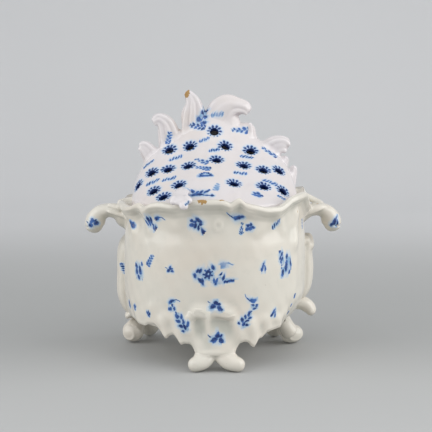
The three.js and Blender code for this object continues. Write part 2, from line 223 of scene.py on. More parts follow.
def turned(rows, cuts, steps, place):
    """A section of some rows spun about the axis and then pressed to place(turn, row)."""
    bm = bmesh.new()
    chain = [bm.verts.new((1, 0, i)) for i in range(rows)]
    edges = [bm.edges.new(pair) for pair in zip(chain, chain[1:])]
    bmesh.ops.subdivide_edges(bm, edges=edges, cuts=cuts)
    bmesh.ops.spin(
        bm, geom=bm.verts[:] + bm.edges[:], cent=(0, 0, 0), axis=(0, 0, 1),
        dvec=(0, 0, 0), angle=2 * math.pi, steps=steps, use_merge=True, use_duplicate=False,
    )
    # The spin orders its faces anew at each run, and what is luted on would follow that.
    for kind in (bm.verts, bm.edges, bm.faces):
        kind.sort(key=spun_order)
    at = np.array([v.co for v in bm.verts])
    turn = np.arctan2(at[:, 0], -at[:, 1]) / (2 * math.pi) % 1
    for v, p in zip(bm.verts, place(turn, at[:, 2])):
        v.co = p
    bmesh.ops.remove_doubles(bm, verts=bm.verts, dist=1e-3)
    bmesh.ops.recalc_face_normals(bm, faces=bm.faces)
    return bm


def tongue(bm, stops, facing, around=20, rings=26, relief=None):
    """A rolled tongue of clay, round at both ends, along stops of (x, y, z, half width,
    half thickness). relief(place, angle) swells or grooves it; 90 degrees is the face."""
    made = bmesh.ops.create_uvsphere(bm, u_segments=around, v_segments=rings, radius=1)
    at = np.array([v.co for v in made["verts"]])
    f = (at[:, 2] + 1) / 2
    angle = np.arctan2(at[:, 1], at[:, 0])
    line = swept(stops, np.linspace(0, 1, 60))[:, :3]
    reach = np.linalg.norm(np.diff(line, axis=0), axis=1).sum()
    here = swept(stops, f)
    run = swept(stops, np.minimum(f + 0.01, 1))[:, :3] - swept(stops, np.maximum(f - 0.01, 0))[:, :3]
    run /= np.linalg.norm(run, axis=1)[:, None]
    across = np.cross(run, np.array(facing, float))
    across /= np.linalg.norm(across, axis=1)[:, None]
    out = np.cross(across, run)
    near = np.minimum(1, f * reach / stops[0][3])
    far = np.minimum(1, (1 - f) * reach / stops[-1][3])
    size = np.sqrt(1 - (1 - near) ** 2) * np.sqrt(1 - (1 - far) ** 2)
    if relief is not None:
        size = size * relief(f, np.degrees(angle) % 360)
    place = (
        here[:, :3]
        + across * (np.cos(angle) * size * here[:, 3])[:, None]
        + out * (np.sin(angle) * size * here[:, 4])[:, None]
    )
    for v, p in zip(made["verts"], place):
        v.co = p
    bmesh.ops.recalc_face_normals(bm, faces=list({f for v in made["verts"] for f in v.link_faces}))


def ball(bm, at, radius, squeeze=(1, 1, 1)):
    """A pressed ball of clay."""
    made = bmesh.ops.create_icosphere(bm, subdivisions=3, radius=radius)
    bmesh.ops.scale(bm, vec=squeeze, verts=made["verts"])
    bmesh.ops.translate(bm, vec=at, verts=made["verts"])


def groove(*lines):
    """Relief of a tongue: (angle, half width in degrees, depth as a share) grooves, each
    along the whole length or from one place to another."""

    def relief(f, angle):
        size = np.ones_like(f)
        for middle, width, depth, *part in lines:
            start, stop = part or (0, 1)
            off = (angle - middle + 180) % 360 - 180
            along = np.sin(np.pi * np.clip((f - start) / (stop - start), 0, 1)) ** 0.5
            size -= depth * np.exp(-((off / width) ** 2)) * along
        return size

    return relief


def as_mesh(bm):
    mesh = bpy.data.meshes.new("clay")
    bm.to_mesh(mesh)
    bm.free()
    return mesh


def with_modifiers(mesh, *settings):
    """The mesh as it comes out of these modifiers, each a type and its values."""
    work = bpy.data.objects.new("clay", mesh)
    bpy.context.scene.collection.objects.link(work)
    for kind, values in settings:
        modifier = work.modifiers.new(kind.title(), kind)
        for key, value in values.items():
            setattr(modifier, key, value)
    done = bpy.data.meshes.new_from_object(
        work.evaluated_get(bpy.context.evaluated_depsgraph_get())
    )
    bpy.data.objects.remove(work)
    return done


def wedged(bm, grain, rounds):
    """Overlapping lumps pressed into one skin, and smoothed as thick glaze does."""
    return with_modifiers(
        as_mesh(bm),
        ("REMESH", {"mode": "VOXEL", "voxel_size": grain}),
        ("SMOOTH", {"factor": 0.5, "iterations": rounds}),
    )


# How deep under the carrying surface a root is still flared, and the least lean away
# from that surface that a vertex needs.
ROOT_DEPTH = 2.5
LEAST_LEAN = 0.05


def luted(mesh, host, fillet):
    """Flares the root of a piece, so that it flows into the surface that carries it."""
    bm = bmesh.new()
    bm.from_mesh(mesh)
    bm.normal_update()
    moved = []
    for v in bm.verts:
        at, normal, _, _ = host.find_nearest(v.co, fillet * 2.5)
        if at is None:
            continue
        height = (v.co - at).dot(normal)
        lean = v.normal - normal * v.normal.dot(normal)
        if not -ROOT_DEPTH <= height <= fillet or lean.length < LEAST_LEAN:
            continue
        share = min(1.0, lean.length * 1.4)
        near = 1 - max(height, 0) / fillet
        moved.append((v, v.co + lean.normalized() * share * fillet * (1 - math.sqrt(1 - near**2))))
    for v, place in moved:
        v.co = place
    bmesh.ops.smooth_vert(
        bm, verts=[v for v, _ in moved], factor=0.5,
        use_axis_x=True, use_axis_y=True, use_axis_z=True,
    )
    bm.to_mesh(mesh)
    bm.free()
    return mesh


def surface(mesh):
    """A search tree of a surface, to set other pieces against."""
    bm = bmesh.new()
    bm.from_mesh(mesh)
    tree = BVHTree.FromBMesh(bm)
    bm.free()
    return tree


def settle(name, mesh, body, slot, *nodes):
    """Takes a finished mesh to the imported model's frame, as the piece for these nodes."""
    mesh.name = name
    mesh.transform(TO_ROW)
    mesh.shade_smooth()
    piece = bpy.data.objects.new(name, mesh)
    bpy.context.scene.collection.objects.link(piece)
    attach(piece, body)
    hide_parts(*nodes)
    return piece


# The vessel.

# Height of the rim, its flare, the apron's lower edge and how far the wall draws in
# above it, by bearing in degrees.
RIM_LINE = [
    (-180, 129), (-140, 129), (-122, 127.5), (-105, 126), (-90, 125.5), (-78, 125), (-66, 124),
    (-60, 124.4), (-51, 127.8), (-45.5, 125.8), (-39, 129), (-32, 130), (-25, 129.4), (-18, 130.8),
    (-13, 132.3), (-6, 133), (3, 133.2), (7, 131.8), (9, 130.8), (11, 132.2), (14, 134),
    (18, 130.4), (24.5, 128.2), (32, 126.1), (39, 126.2), (46, 129.2), (50, 132), (57, 134),
    (67, 135), (76, 127), (88, 123), (97, 130), (108, 134.5), (122, 132), (140, 129), (180, 129),
]
FLARE_LINE = [
    (-180, 0.2), (-110, 0.25), (-85, 1), (-62, 1.1), (-50, 0.8), (-40, 1), (-26, 1.1), (-12, 0.9),
    (4, 1.1), (12, 0.85), (24, 1), (36, 1.15), (48, 1), (58, 1.15), (70, 1), (85, 1), (96, 0.2),
    (180, 0.2),
]
APRON_LINE = [
    (-180, 27), (-165, 24), (-150, 28), (-140, 28), (-115, 27), (-95, 29), (-75, 31), (-65, 31.3),
    (-56, 30.2), (-49, 30.3), (-45.6, 32.2), (-41, 32.7), (-37, 30.2), (-34.8, 27.4), (-31.4, 23),
    (-29, 25.6), (-26.3, 26.9), (-23.6, 23.9), (-20.8, 19.5), (-18.5, 20.7), (-15.8, 20.7),
    (-14, 19.4), (-12.5, 15.5), (-11.2, 11.5), (-8, 10), (0, 10.5), (8, 10), (11.5, 11.5),
    (13, 15.8), (14.2, 19.2), (15.8, 21.3), (18.8, 22.1), (21.4, 20.6), (22.7, 18.5), (24.6, 17.2),
    (26, 19.2), (28, 23.3), (30.1, 24.2), (33.7, 27.6), (37.5, 28.6), (41.6, 29.4), (47.9, 30.1),
    (55, 31), (75, 32), (95, 30), (115, 27), (140, 28), (150, 28), (165, 24), (180, 27),
]
TUCK_LINE = [
    (-180, 0), (-112, 0), (-95, 3), (-70, 3), (-52, 0), (44, 0), (50, 4), (56, 8), (64, 10),
    (95, 10.5), (112, 7), (130, 3), (150, 0), (180, 0),
]
TUCK_TOP, TUCK_LOW = 55.0, 31.0
# Wall section from the lower edge up the outside and down the inside: distance out
# from the plan, height, and the line that the height follows.
WALL_SECTION = [
    (-1.6, 0.2, "apron"), (-0.5, 2.5, "apron"), (-0.2, 8, "apron"), (0, 52, ""), (0.3, 75, ""),
    (-0.2, 98, ""), (-1.3, 109, ""), (-0.7, -11, "rim"), (1.3, -7, "rim"), (3.6, -4.4, "rim"),
    (5.0, -1.8, "rim"), (4.3, 0.5, "rim"), (1.8, 1.4, "rim"), (-1.0, 0.4, "rim"),
    (-3.5, -3.2, "rim"), (-5.2, 119, ""), (-5.2, 75, ""), (-5.2, 3, "apron"),
    (-4.2, 0.2, "apron"), (-1.6, 0.2, "apron"),
]
# Rows of the section: where the rim flares, the first row that no fold or ripple
# reaches, and the inside row that stays this far under a low rim.
RIM_ROWS = 6.2, 13.6
FOLD_END, RIPPLE_END = 10, 9
UNDER_RIM_ROW, UNDER_RIM = 15, 7
# Raised folds and hollows of the wall: height, half width, then places along the
# front (from its middle) and up.
WALL_RELIEF = [
    # drapery under the rim
    (1.3, 5.5, [(26, 123), (34, 118), (38, 113)]),
    (1.0, 4.0, [(27, 112), (33, 108)]),
    (-1.4, 6.0, [(13, 119), (18, 116)]),
    (1.2, 5.5, [(-27, 121), (-29, 114)]),
    (0.9, 5.0, [(-12, 123), (-10, 114)]),
    (-1.0, 5.0, [(-72, 120), (-66, 117)]),
    (1.8, 4.6, [(-92, 121), (-84, 114), (-80, 106)]),
    (-1.6, 4.2, [(-78, 122), (-74, 116), (-72, 110)]),
    (1.5, 4.6, [(-61, 122), (-59, 115), (-57, 109)]),
    (1.3, 5.0, [(52, 119), (59, 115), (61, 109)]),
    (2.0, 4.6, [(80, 120), (79, 108), (77, 96)]),
    (0.8, 5.5, [(76, 84), (75, 60)]),
    # potter's ring mark
    (0.8, 0.8, [(-0.6, 113.6), (0.6, 116.6), (3, 117.4), (5.2, 116), (5.6, 113), (4, 111), (1, 111),
                (-0.6, 113.6)]),
    # lumps and scrolls of the apron
    (0.9, 5.5, [(-55, 47), (-48, 40)]),
    (1.0, 3.8, [(-45, 36), (-43, 30), (-41.5, 24)]),
    (-0.9, 3.6, [(-37, 35), (-35, 29)]),
    (1.0, 4.2, [(-33.5, 40), (-31, 33), (-28.5, 21)]),
    (1.0, 4.2, [(30, 38), (32, 30), (32.5, 19)]),
    (-0.9, 3.4, [(39, 33), (39.7, 27)]),
    (0.9, 4.0, [(44, 39), (46, 32)]),
    (0.8, 5.0, [(56, 38), (64, 42)]),
    (-0.6, 4.0, [(51, 34), (55, 32)]),
    # swelling over the shell's lip, its hollows and the rib between them
    (1.5, 4.2, [(-20, 33), (-19.4, 42), (-14.6, 47.4), (-6, 47), (3, 47.6), (13, 45.4), (17.4, 38)]),
    (-2.7, 4.8, [(-13.4, 38.6), (-11, 31)]),
    (-2.7, 4.8, [(1.4, 38.6), (10.4, 37.4)]),
    (-1.6, 4.6, [(4, 33), (8.4, 29)]),
    (1.1, 1.7, [(-5.2, 43), (-5.6, 36), (-5.6, 30)]),
    # swelling towards the front foot
    (4.4, 9.0, [(-8, 9), (8, 9)]),
]


def along_front(x, y):
    """Distance round the front from its middle, for points near the wall."""
    bearing = np.arctan2(x, -y)
    past = np.where(y > 0, y, 0)
    return np.where(
        y > 0, np.sign(x) * (HALF_WIDTH * math.pi / 2 + past), HALF_WIDTH * bearing
    )


def raised(table, s, z):
    """Sum of the folds of a relief table at places s, z."""
    total = np.zeros_like(s)
    for height, width, line in table:
        best = np.full_like(s, 1e9)
        for (sa, za), (sb, zb) in zip(line, line[1:]):
            run, rise = sb - sa, zb - za
            f = np.clip(((s - sa) * run + (z - za) * rise) / (run**2 + rise**2), 0, 1)
            best = np.minimum(best, (s - sa - f * run) ** 2 + (z - za - f * rise) ** 2)
        total += height * np.exp(-best / width**2)
    return total


def drawn_in(bearing, z):
    """How far the wall draws in towards its foot."""
    return ease(TUCK_LINE, bearing) * np.clip((TUCK_TOP - z) / (TUCK_TOP - TUCK_LOW), 0, 1.2) ** 1.6


def wall_place(turn, row):
    """Where the rows of the wall's section lie, all round the plan."""
    x, y, nx, ny = plan(turn)
    bearing = np.degrees(np.arctan2(x, -y))
    rim, apron = flow(RIM_LINE, bearing), flow(APRON_LINE, bearing)
    out = flow([(i, away) for i, (away, _, _) in enumerate(WALL_SECTION)], row)
    follow = {"rim": rim, "apron": apron, "": 0 * rim}
    height = np.array([up + follow[line] for _, up, line in WALL_SECTION])
    height[UNDER_RIM_ROW] = np.minimum(height[UNDER_RIM_ROW], rim - UNDER_RIM)
    i = np.minimum(row.astype(int), len(WALL_SECTION) - 2)
    f, each = row - i, np.arange(len(turn))
    z = height[i, each] * (1 - f) + height[i + 1, each] * f
    flares = (row > RIM_ROWS[0]) & (row < RIM_ROWS[1]) & (out > 0)
    out = np.where(flares, out * ease(FLARE_LINE, bearing), out)
    s = along_front(x, y)
    fold = raised(WALL_RELIEF, s, z) * np.clip((FOLD_END - row) / 2, 0, 1) * np.clip(row / 1.5, 0, 1)
    ripple = ripples(s, z) * (row < RIPPLE_END) * np.clip(row, 0, 1)
    out = out + fold + ripple - drawn_in(bearing, z)
    return np.stack([x + nx * out, y + ny * out, z], 1)


def ripples(s, z):
    """The uneven surface that fingers leave where the shell and the apron were modelled."""
    near = ease([(28, 1), (44, 0.8), (58, 0.2), (100, 0.2), (112, 0.5)], z)
    waves = np.sin(s / 2.9 + z / 4.1) + np.sin(s / 4.3 - z / 2.7 + 1.3) + np.sin(s / 2.1 + z / 3.3 + 2.1)
    return 0.16 * near * waves


def between(rings, row):
    """Points at whole and part rows of rings, each ring with a point for each turn."""
    i = np.minimum(row.astype(int), len(rings) - 2)
    f, each = (row - i)[:, None], np.arange(len(row))
    return rings[i, each] * (1 - f) + rings[i + 1, each] * f


def inset(turn, depth, z):
    """A level ring this far inside the plan."""
    x, y, nx, ny = plan(turn)
    return np.stack([x - nx * depth, y - ny * depth, 0 * x + z], 1)


def band_place(outer, inner, low, high, soft=0.8):
    """Section of a ring or a slab that follows the plan, with softened arrises."""
    if inner is None:
        section = [(None, low), (outer + soft, low), (outer, low + soft), (outer, high - soft),
                   (outer + soft, high), (None, high)]
    else:
        section = [(inner - soft, low), (outer + soft, low), (outer, low + soft),
                   (outer, high - soft), (outer + soft, high), (inner - soft, high),
                   (inner, high - soft), (inner, low + soft), (inner - soft, low)]

    def place(turn, row):
        x, y, _, _ = plan(turn)
        tuck = drawn_in(np.degrees(np.arctan2(x, -y)), 0 * x + low)
        middle = np.zeros((len(turn), 3))
        rings = [
            middle + (0, 0, z) if depth is None else inset(turn, depth + tuck, z)
            for depth, z in section
        ]
        return between(np.array(rings), row)

    return len(section), place


# Feet, in their own place under x = 0, before they are moved out and turned: the
# stops of a lobe (x, y, z, half height, half depth) and of the neck between the lobes.
FRONT_LOBE = [
    (2, 5.4, 18.5, 5.4, 4), (5.4, 3.4, 12.4, 7.2, 5), (10.4, 0.9, 8.2, 7.6, 6), (14.8, -0.8, 6, 6.1, 6.4),
    (20.9, -0.8, 5.7, 5.6, 6.4),
]
FRONT_NECK = [(0, 5.2, 24, 11, 3), (0, 4.6, 18, 11.6, 3.4), (0, 3, 13.4, 9.4, 4), (0, 2.2, 10.6, 5, 3.6)]
LEFT_LOBE = [
    (5, 3, 28, 6.6, 5.4), (6.8, 1.4, 21, 6.4, 5.8), (10, -0.4, 14.4, 8.2, 8), (14, -1.6, 9.4, 9.2, 10),
    (20.4, -1.4, 8.5, 8.5, 9.8),
]
RIGHT_LOBE = [
    (5, 5, 28, 6.6, 5.8), (6.6, 4.4, 20, 5.8, 6.6), (9.5, 4.2, 13, 6.8, 9), (13.5, 4, 8.4, 8, 11),
    (20.4, 4.2, 8, 7.8, 11),
]
# The nearer lobe of the right foot, which kicks out from farther under the wall.
RIGHT_NEAR_LOBE = [
    (5, 11, 28, 6, 5), (6, 10.6, 20, 5.6, 5), (9.8, 6.6, 11.8, 6, 8), (13.5, 4, 8.4, 8, 11),
    (20.4, 4.2, 8, 7.8, 11),
]
LEFT_NECK = [(0, 5, 33, 14, 6), (0, 3, 24, 11, 6), (0, 2, 17, 8, 5)]
RIGHT_NECK = [(0, 9, 33, 13, 6), (0, 9, 24, 9, 5), (0, 7, 17, 8, 5)]
# The root that runs from under the wall into the nearer lobe of the right foot.
ROOT = [(54, 2, 38, 7, 5), (56.4, 5, 28.6, 7.4, 5.4), (59.4, 8.4, 20.4, 7.2, 6), (64, 11, 12.6, 7.4, 7),
        (67, 12, 8.8, 7.4, 7.4)]
# How far out and at which bearing each foot stands, its two lobes, the neck between
# them, its root and the share of the slip fillet where it meets the wall.
FEET = {
    "front_foot": (75, 0, (FRONT_LOBE, FRONT_LOBE), FRONT_NECK, None, 0.3),
    "right_foot": (71.5, 117, (RIGHT_NEAR_LOBE, RIGHT_LOBE), RIGHT_NECK, ROOT, 1),
    "left_foot": (71.5, -117, (LEFT_LOBE, LEFT_LOBE), LEFT_NECK, None, 1),
}
# The front foot's right lobe spreads farther than its left one.
FRONT_SPREAD = 1.13


def volute(bm, side, y, z, high, deep):
    """A raised spiral on the end of a lobe."""
    turn = np.linspace(-0.2, 1.15, 10) * 2 * math.pi
    shrink = np.linspace(1, 0.28, 10)
    stops = [
        (side * (15.4 + 4.2 * math.sqrt(max(1 - k * k, 0))), y - math.sin(a) * deep * k * 0.9,
         z + math.cos(a) * high * k * 0.9, 0.95, 1.1)
        for a, k in zip(turn, shrink)
    ]
    tongue(bm, stops, (side, 0, 0), 12, 60)


def foot_clay(ring, bearing, lobes, neck, root):
    bm = bmesh.new()
    facing = (0, -1, 0) if bearing else (0, -0.87, 0.5)
    for side, lobe in zip((-1, 1), lobes):
        spread = side if bearing or side < 0 else side * FRONT_SPREAD
        tongue(bm, [(spread * x, y, z, w, t) for x, y, z, w, t in lobe], facing)
        if bearing:
            _, y, z, high, deep = lobe[-1]
            volute(bm, side, y, z, high, deep)
    tongue(bm, neck, (0, -1, 0))
    bmesh.ops.translate(bm, vec=(0, -ring, 0), verts=bm.verts)
    bmesh.ops.rotate(
        bm, cent=(0, 0, 0), matrix=Matrix.Rotation(math.radians(bearing), 3, "Z"), verts=bm.verts
    )
    if root:
        tongue(bm, root, (0.8, -0.6, 0))
    return bm


def flat_footed(mesh):
    """Presses whatever hangs below the table flat on it."""
    for v in mesh.vertices:
        v.co.z = max(v.co.z, 0)
    return mesh


# Straps: side, then stops of x, y, z, half width, half thickness.
STRAPS = {
    "right_strap": (
        1, [(73, 19, 92, 8, 6), (78.2, 19, 88, 10, 7.2), (77.4, 19, 82, 10.6, 6.6),
            (77.8, 19, 66, 9.5, 7.2), (76.2, 19, 50, 9, 6.6), (70, 19, 37, 8.5, 4.5)]),
    "left_strap": (
        -1, [(-70, 19, 96, 6, 5), (-75.6, 19, 86, 10, 7.2), (-77, 19, 64, 10, 7.2),
             (-77.2, 19, 44, 9.5, 7), (-74.4, 19, 33, 8, 5.6), (-69, 19, 25, 6.6, 4)]),
}
# Lumps of the knob on the right strap.
KNOB = [(77, 12.4, 90.6, 4.8), (79.4, 19, 91.8, 5), (77, 25.6, 90.6, 4.8), (80.4, 14.5, 86.6, 4.4)]
# Hooks: side, then stops of x, z, half thickness, all at one depth and half width.
HOOK_Y, HOOK_HALF = 18, 7.5
HOOKS = {
    "right_hook": (1, [(56, 35, 5), (68, 36, 5.6), (77, 35, 6.1), (82.2, 30, 5.6), (82.4, 24.4, 4)]),
    "left_hook": (-1, [(62, 27, 3.5), (70, 27, 4), (74.6, 25, 3.6), (76, 21.5, 2.6)]),
}
# Handles: side, then stops of x, z, half thickness, half width, all at one depth, and
# the ridges that are laid on them: x, y, z and two half sizes.
HANDLE_Y = 9
HANDLES = {
    "left_handle": (
        -1,
        [(58, 109, 14, 14), (74, 112.4, 11.4, 13), (82, 116.6, 7.6, 12), (91, 117.6, 6.6, 11.5),
         (98, 114.6, 8.2, 11.5), (101.8, 107, 8.8, 11), (101.6, 97.6, 8.4, 10)],
        [
            [(60, 0, 124, 4, 3), (70, -2, 122, 3.4, 2.6), (80, -2, 120.4, 2.8, 2.2),
             (90, 0, 122.4, 2, 1.6)],
            [(60, -4, 117, 3.4, 2.8), (69, -5, 113.6, 3, 2.4), (78, -4.4, 114.8, 2.4, 2),
             (90, -3, 118, 2, 1.4)],
            [(62, 3, 128, 4, 2.6), (72, 2, 126, 3.4, 2.2), (82, 3, 124.4, 2.2, 1.8)],
        ],
    ),
    "right_handle": (
        1,
        [(58, 112, 12, 14), (72, 114.6, 8.4, 13), (80, 117.4, 5.8, 12), (89, 118.4, 6.2, 11.5),
         (95.4, 115.4, 8, 11.5), (99, 108, 8.6, 11), (98.8, 99, 8.4, 10)],
        [
            [(60, 22, 134, 5, 3), (74, 20, 129.6, 4, 2.6), (86, 18, 124.4, 3, 2.2), (92, 14, 122, 2, 1.6)],
            [(66, -2, 115, 4.4, 3), (76, -3.4, 117, 4, 2.8), (88, -2, 120.6, 3.2, 2.4), (93, 2, 121, 2, 1.8)],
            [(70, 2, 125, 3, 2), (76, 0, 120, 2.6, 2), (82, -2, 117, 2, 1.6)],
        ],
    ),
}


def handle_clay(side, stops, ridges):
    bm = bmesh.new()
    tongue(
        bm, [(side * x, HANDLE_Y, z, w, t) for x, z, t, w in stops], (0, 0, 1), 28, 40,
        groove((90, 30, 0.3, 0, 0.75), (90, 30, 0.1)),
    )
    for ridge in ridges:
        tongue(bm, [(side * x, y, z, w, t) for x, y, z, w, t in ridge], (0, -0.7, 1), 14, 40)
    return bm


def on_front(x, z, out):
    return (x, -math.sqrt((HALF_WIDTH + out) ** 2 - x * x), z)


# The shell's lip and the folds that run down from it: x, z, half width, and how far
# it stands out.
SHELL = [
    [(-18.6, 27, 1.3, -1.4), (-20, 32, 2.0, -0.6), (-19.8, 39, 2.6, -0.4), (-18, 43, 3.0, -0.3),
     (-14.8, 45, 3.2, -0.5), (-10.4, 45, 3.1, -0.5), (-6.8, 44, 2.6, -0.5), (-4.4, 43.4, 2.2, -0.6)],
    [(-6.4, 43, 1.8, -0.6), (-3.4, 45, 2.2, -0.3), (1, 45.6, 2.3, -0.2), (5.4, 44.6, 2.2, -0.2),
     (10.4, 43.8, 2.4, -0.2), (14.4, 42, 2.5, -0.3), (16.8, 38.4, 2.3, -0.5), (17, 33.6, 1.9, -0.8),
     (15, 28, 1.3, -1.4)],
]


def shell_clay():
    """A wavy lip over two hollows."""
    bm = bmesh.new()
    for line in SHELL:
        stops = [(*on_front(x, z, out), w, w * 0.5) for x, z, w, out in line]
        tongue(bm, stops, (0, -1, 0), 16, 60)
    return bm


# The cover.

COVER_ACROSS = [
    (128, 69.3), (140, 67), (150, 63.5), (160, 57), (168, 49), (175, 39.5), (185, 27), (192, 19),
    (200, 11), (207, 5),
]
COVER_DEPTH = [
    (128, 103.5), (131, 97), (138, 85), (146, 70), (154, 56), (162, 41), (172, 28), (185, 18.5),
    (196, 12), (207, 7.5),
]
COVER_OUT = [121.3, 128, 131, 138, 146, 154, 162, 168, 175, 185, 192, 200, 207]
COVER_IN = [184, 176, 168, 160, 150, 140, 131]
# The seating ring of the cover: its inset and two heights.
SEAT_INSET = 13.5
SEAT = [121.3, 125]
# Below this height the cover's outline runs straight down.
COVER_EDGE = 128
# Sideways lean of the cover's peak, and the middle of its top outside and inside.
PEAK_LEAN = 4
OUTER_PEAK = (PEAK_LEAN, COVER_BACK - 3.5, COVER_TOP + 1)
INNER_PEAK = (1, COVER_BACK - 10, 187.5)
# How much narrower the inside of the cover is on each side, and how that share grows
# towards the front and the back.
THINNED, FRONT_THINNED, BACK_THINNED = 3, 2.2, 1.3
# Length of the drills that pierce it.
DRILL_LONG = 18
STEM_HOLES = [
    (-0.5, 183), (-38.5, 167.5), (-21, 170.5), (9, 171), (30, 167), (1.5, 160.5), (-22, 156),
    (-38.5, 153), (-52.5, 150), (-64, 139), (-49.5, 137), (-29, 142), (24, 156), (40, 152.5),
    (53.5, 151.5), (15.5, 143.5), (39.5, 140.5), (55.5, 136.5), (-41, 133.5),
]


def keel(share, z):
    """How far the cover's front leans back either side of its blunt middle, and a small
    fold near its edge, by the share of the half width."""
    side = ease([(0, -1), (0.12, -0.7), (0.5, 1), (0.95, 0)], np.abs(share + 0.07))
    near_edge = ease([(129, 0), (131, 1), (136, 1), (140, 0)], z)
    fold = 1.5 * np.exp(-(((share - 0.262) / 0.035) ** 2)) * near_edge
    return KEEL * side * ease([(131, 0), (143, 1), (168, 1), (184, 0)], z) - fold


def cover_place(turn, z, thin=0.0, drop=0.0):
    x, y, nx, ny = plan(turn)
    x0, y0 = x - nx * COVER_INSET, y - ny * COVER_INSET
    high = np.maximum(z, COVER_EDGE)
    across = (flow(COVER_ACROSS, high) - thin) / COVER_HALF
    depth = (flow(COVER_DEPTH, high) - thin * FRONT_THINNED) / (COVER_BACK + COVER_HALF)
    lean = PEAK_LEAN * ease([(180, 0), (207, 1)], high)
    back = COVER_BACK - thin * BACK_THINNED
    bow = keel(x0 / COVER_HALF, high) * np.clip((COVER_BACK - y0) / 50, 0, 1)
    return np.stack([x0 * across + lean, back - (COVER_BACK - y0) * depth + bow, z - drop], 1)


def cover_shell(turn, row):
    """Rows from the outer top down, round the seating ring and up the inside."""
    middle = np.zeros((len(turn), 3))
    rings = [middle + OUTER_PEAK]
    rings += [cover_place(turn, 0 * turn + z) for z in COVER_OUT[::-1]]
    rings += [inset(turn, SEAT_INSET, z) for z in SEAT]
    rings += [
        cover_place(turn, 0 * turn + z + COVER_THICK, THINNED, COVER_THICK) for z in COVER_IN[::-1]
    ]
    rings.append(middle + INNER_PEAK)
    return between(np.array(rings), row)


COVER_ROWS = len(COVER_OUT) + len(SEAT) + len(COVER_IN) + 2


def cover_face(x, z):
    """How far forward the cover's outer face lies at a place seen from the front."""
    across = float(flow(COVER_ACROSS, np.array([z]))[0]) / COVER_HALF
    depth = float(flow(COVER_DEPTH, np.array([z]))[0]) / (COVER_BACK + COVER_HALF)
    lean = PEAK_LEAN * float(ease([(180, 0), (207, 1)], np.array([z]))[0])
    x0 = min(max((x - lean) / across, -COVER_HALF), COVER_HALF)
    bow = float(keel(np.array([x0 / COVER_HALF]), np.array([max(z, COVER_EDGE)]))[0])
    return COVER_BACK - (COVER_BACK + math.sqrt(COVER_HALF**2 - x0**2)) * depth + bow


def cover_normal(x, z, e=0.8):
    dx = (cover_face(x + e, z) - cover_face(x - e, z)) / (2 * e)
    dz = (cover_face(x, z + e) - cover_face(x, z - e)) / (2 * e)
    return Vector((dx, -1, dz)).normalized()


# Leaves of the crest: depth, then stops of x, z, half width, half thickness, and where
# ribs run along their face, as shares of the half width.
LEAVES = {
    "leaf_low_left": (24, (-0.62, 0.5), [
        (-45, 150, 11, 6), (-51, 158, 9.4, 5.6), (-56.4, 165, 7.6, 5.4), (-61, 169.6, 6, 5),
        (-65, 170.2, 3.6, 4.2)]),
    "leaf_mid_left": (26, (-0.62, 0.0, 0.6), [
        (-36, 160, 13, 6.5), (-37.6, 172, 11, 6), (-39.6, 182, 9.4, 6), (-42.6, 189.6, 7.8, 5.6),
        (-48, 193.2, 5.6, 5.2), (-52.6, 190.4, 3.8, 4.2)]),
    "leaf_flame": (27, (-0.6, 0.05, 0.62), [
        (-17.4, 180, 14.5, 6), (-18.4, 192, 11.6, 6), (-18.2, 200.4, 10, 6), (-18.6, 207.4, 7, 5.4),
        (-21.2, 213, 4.6, 4.4), (-24.4, 217, 2.6, 3.2)]),
    "leaf_crown": (27, (-0.5,), [
        (5.6, 180, 18, 6), (5.8, 190, 16.4, 6.4), (6.8, 198, 14.6, 6.6), (12, 203.4, 12, 7),
        (19.6, 204.2, 7.8, 7.4), (25.4, 202.6, 6.4, 6.8), (28.8, 198.4, 3.6, 4.4)]),
    "leaf_knob": (26, (-0.5,), [
        (21, 164, 13, 6), (24.6, 175, 11, 6.2), (26.6, 183, 8.6, 6), (27, 190.8, 6.2, 5.6)]),
    "leaf_right": (25, (-0.5, 0.55), [
        (40, 156, 13, 6), (46.4, 165, 11.4, 6), (52.6, 170.2, 9.6, 6.4), (58, 171, 8.2, 6.6),
        (62.6, 168.4, 6.6, 6)]),
    "leaf_spur": (22, (0.0,), [(51, 145, 8, 5), (57, 155, 5.6, 4.4), (61.4, 162, 2.8, 3)]),
    "leaf_thorn": (18, (0.0,), [(60, 130, 7.4, 5), (65, 144, 4.8, 4.2), (67.8, 154.5, 2.6, 2.8)]),
}
# The crown leaf is hollow under its curl.
HOLLOW = {"leaf_crown": (60, 26, 0.2, 0.52, 0.97)}
# Webs of clay between a leaf and its neighbour: x, z, half width, half thickness.
WEBS = {
    "leaf_crown": [[(12, 184, 9, 6), (13, 192, 8.4, 6.6), (14, 200, 7.6, 7)]],
    "leaf_mid_left": [[(-34, 170, 9, 5), (-32.4, 179, 6, 4.8), (-30.8, 185, 3, 3)]],
    "leaf_knob": [[(34, 164, 10, 5.4), (34, 172, 7, 5), (33.6, 178, 3.6, 4)]],
}


def leaf_clay(name):
    y, ribs, stops = LEAVES[name]
    bm = bmesh.new()
    grooves = [(52, 15, 0.14), (128, 15, 0.14)]
    if name in HOLLOW:
        grooves = [HOLLOW[name], (128, 15, 0.1)]
    tongue(bm, [(x, y, z, w, t) for x, z, w, t in stops], (0, -1, 0), 32, 48, groove(*grooves))
    line = np.array(stops, float)
    run = np.gradient(line[:, :2], axis=0)
    run /= np.linalg.norm(run, axis=1)[:, None]
    for share in ribs:
        rib = [
            (x - share * w * r[1] * 0.9, y - t * math.sqrt(1 - share * share * 0.7) * 0.8,
             z + share * w * r[0] * 0.9, 0.9 + 0.17 * w, 1.1 + 0.09 * w)
            for (x, z, w, t), r in zip(stops, run)
        ]
        tongue(bm, rib, (0, -1, 0), 14, 48)
    for web in WEBS.get(name, ()):
        tongue(bm, [(x, y, z, w, t) for x, z, w, t in web], (0, -1, 0))
    return bm


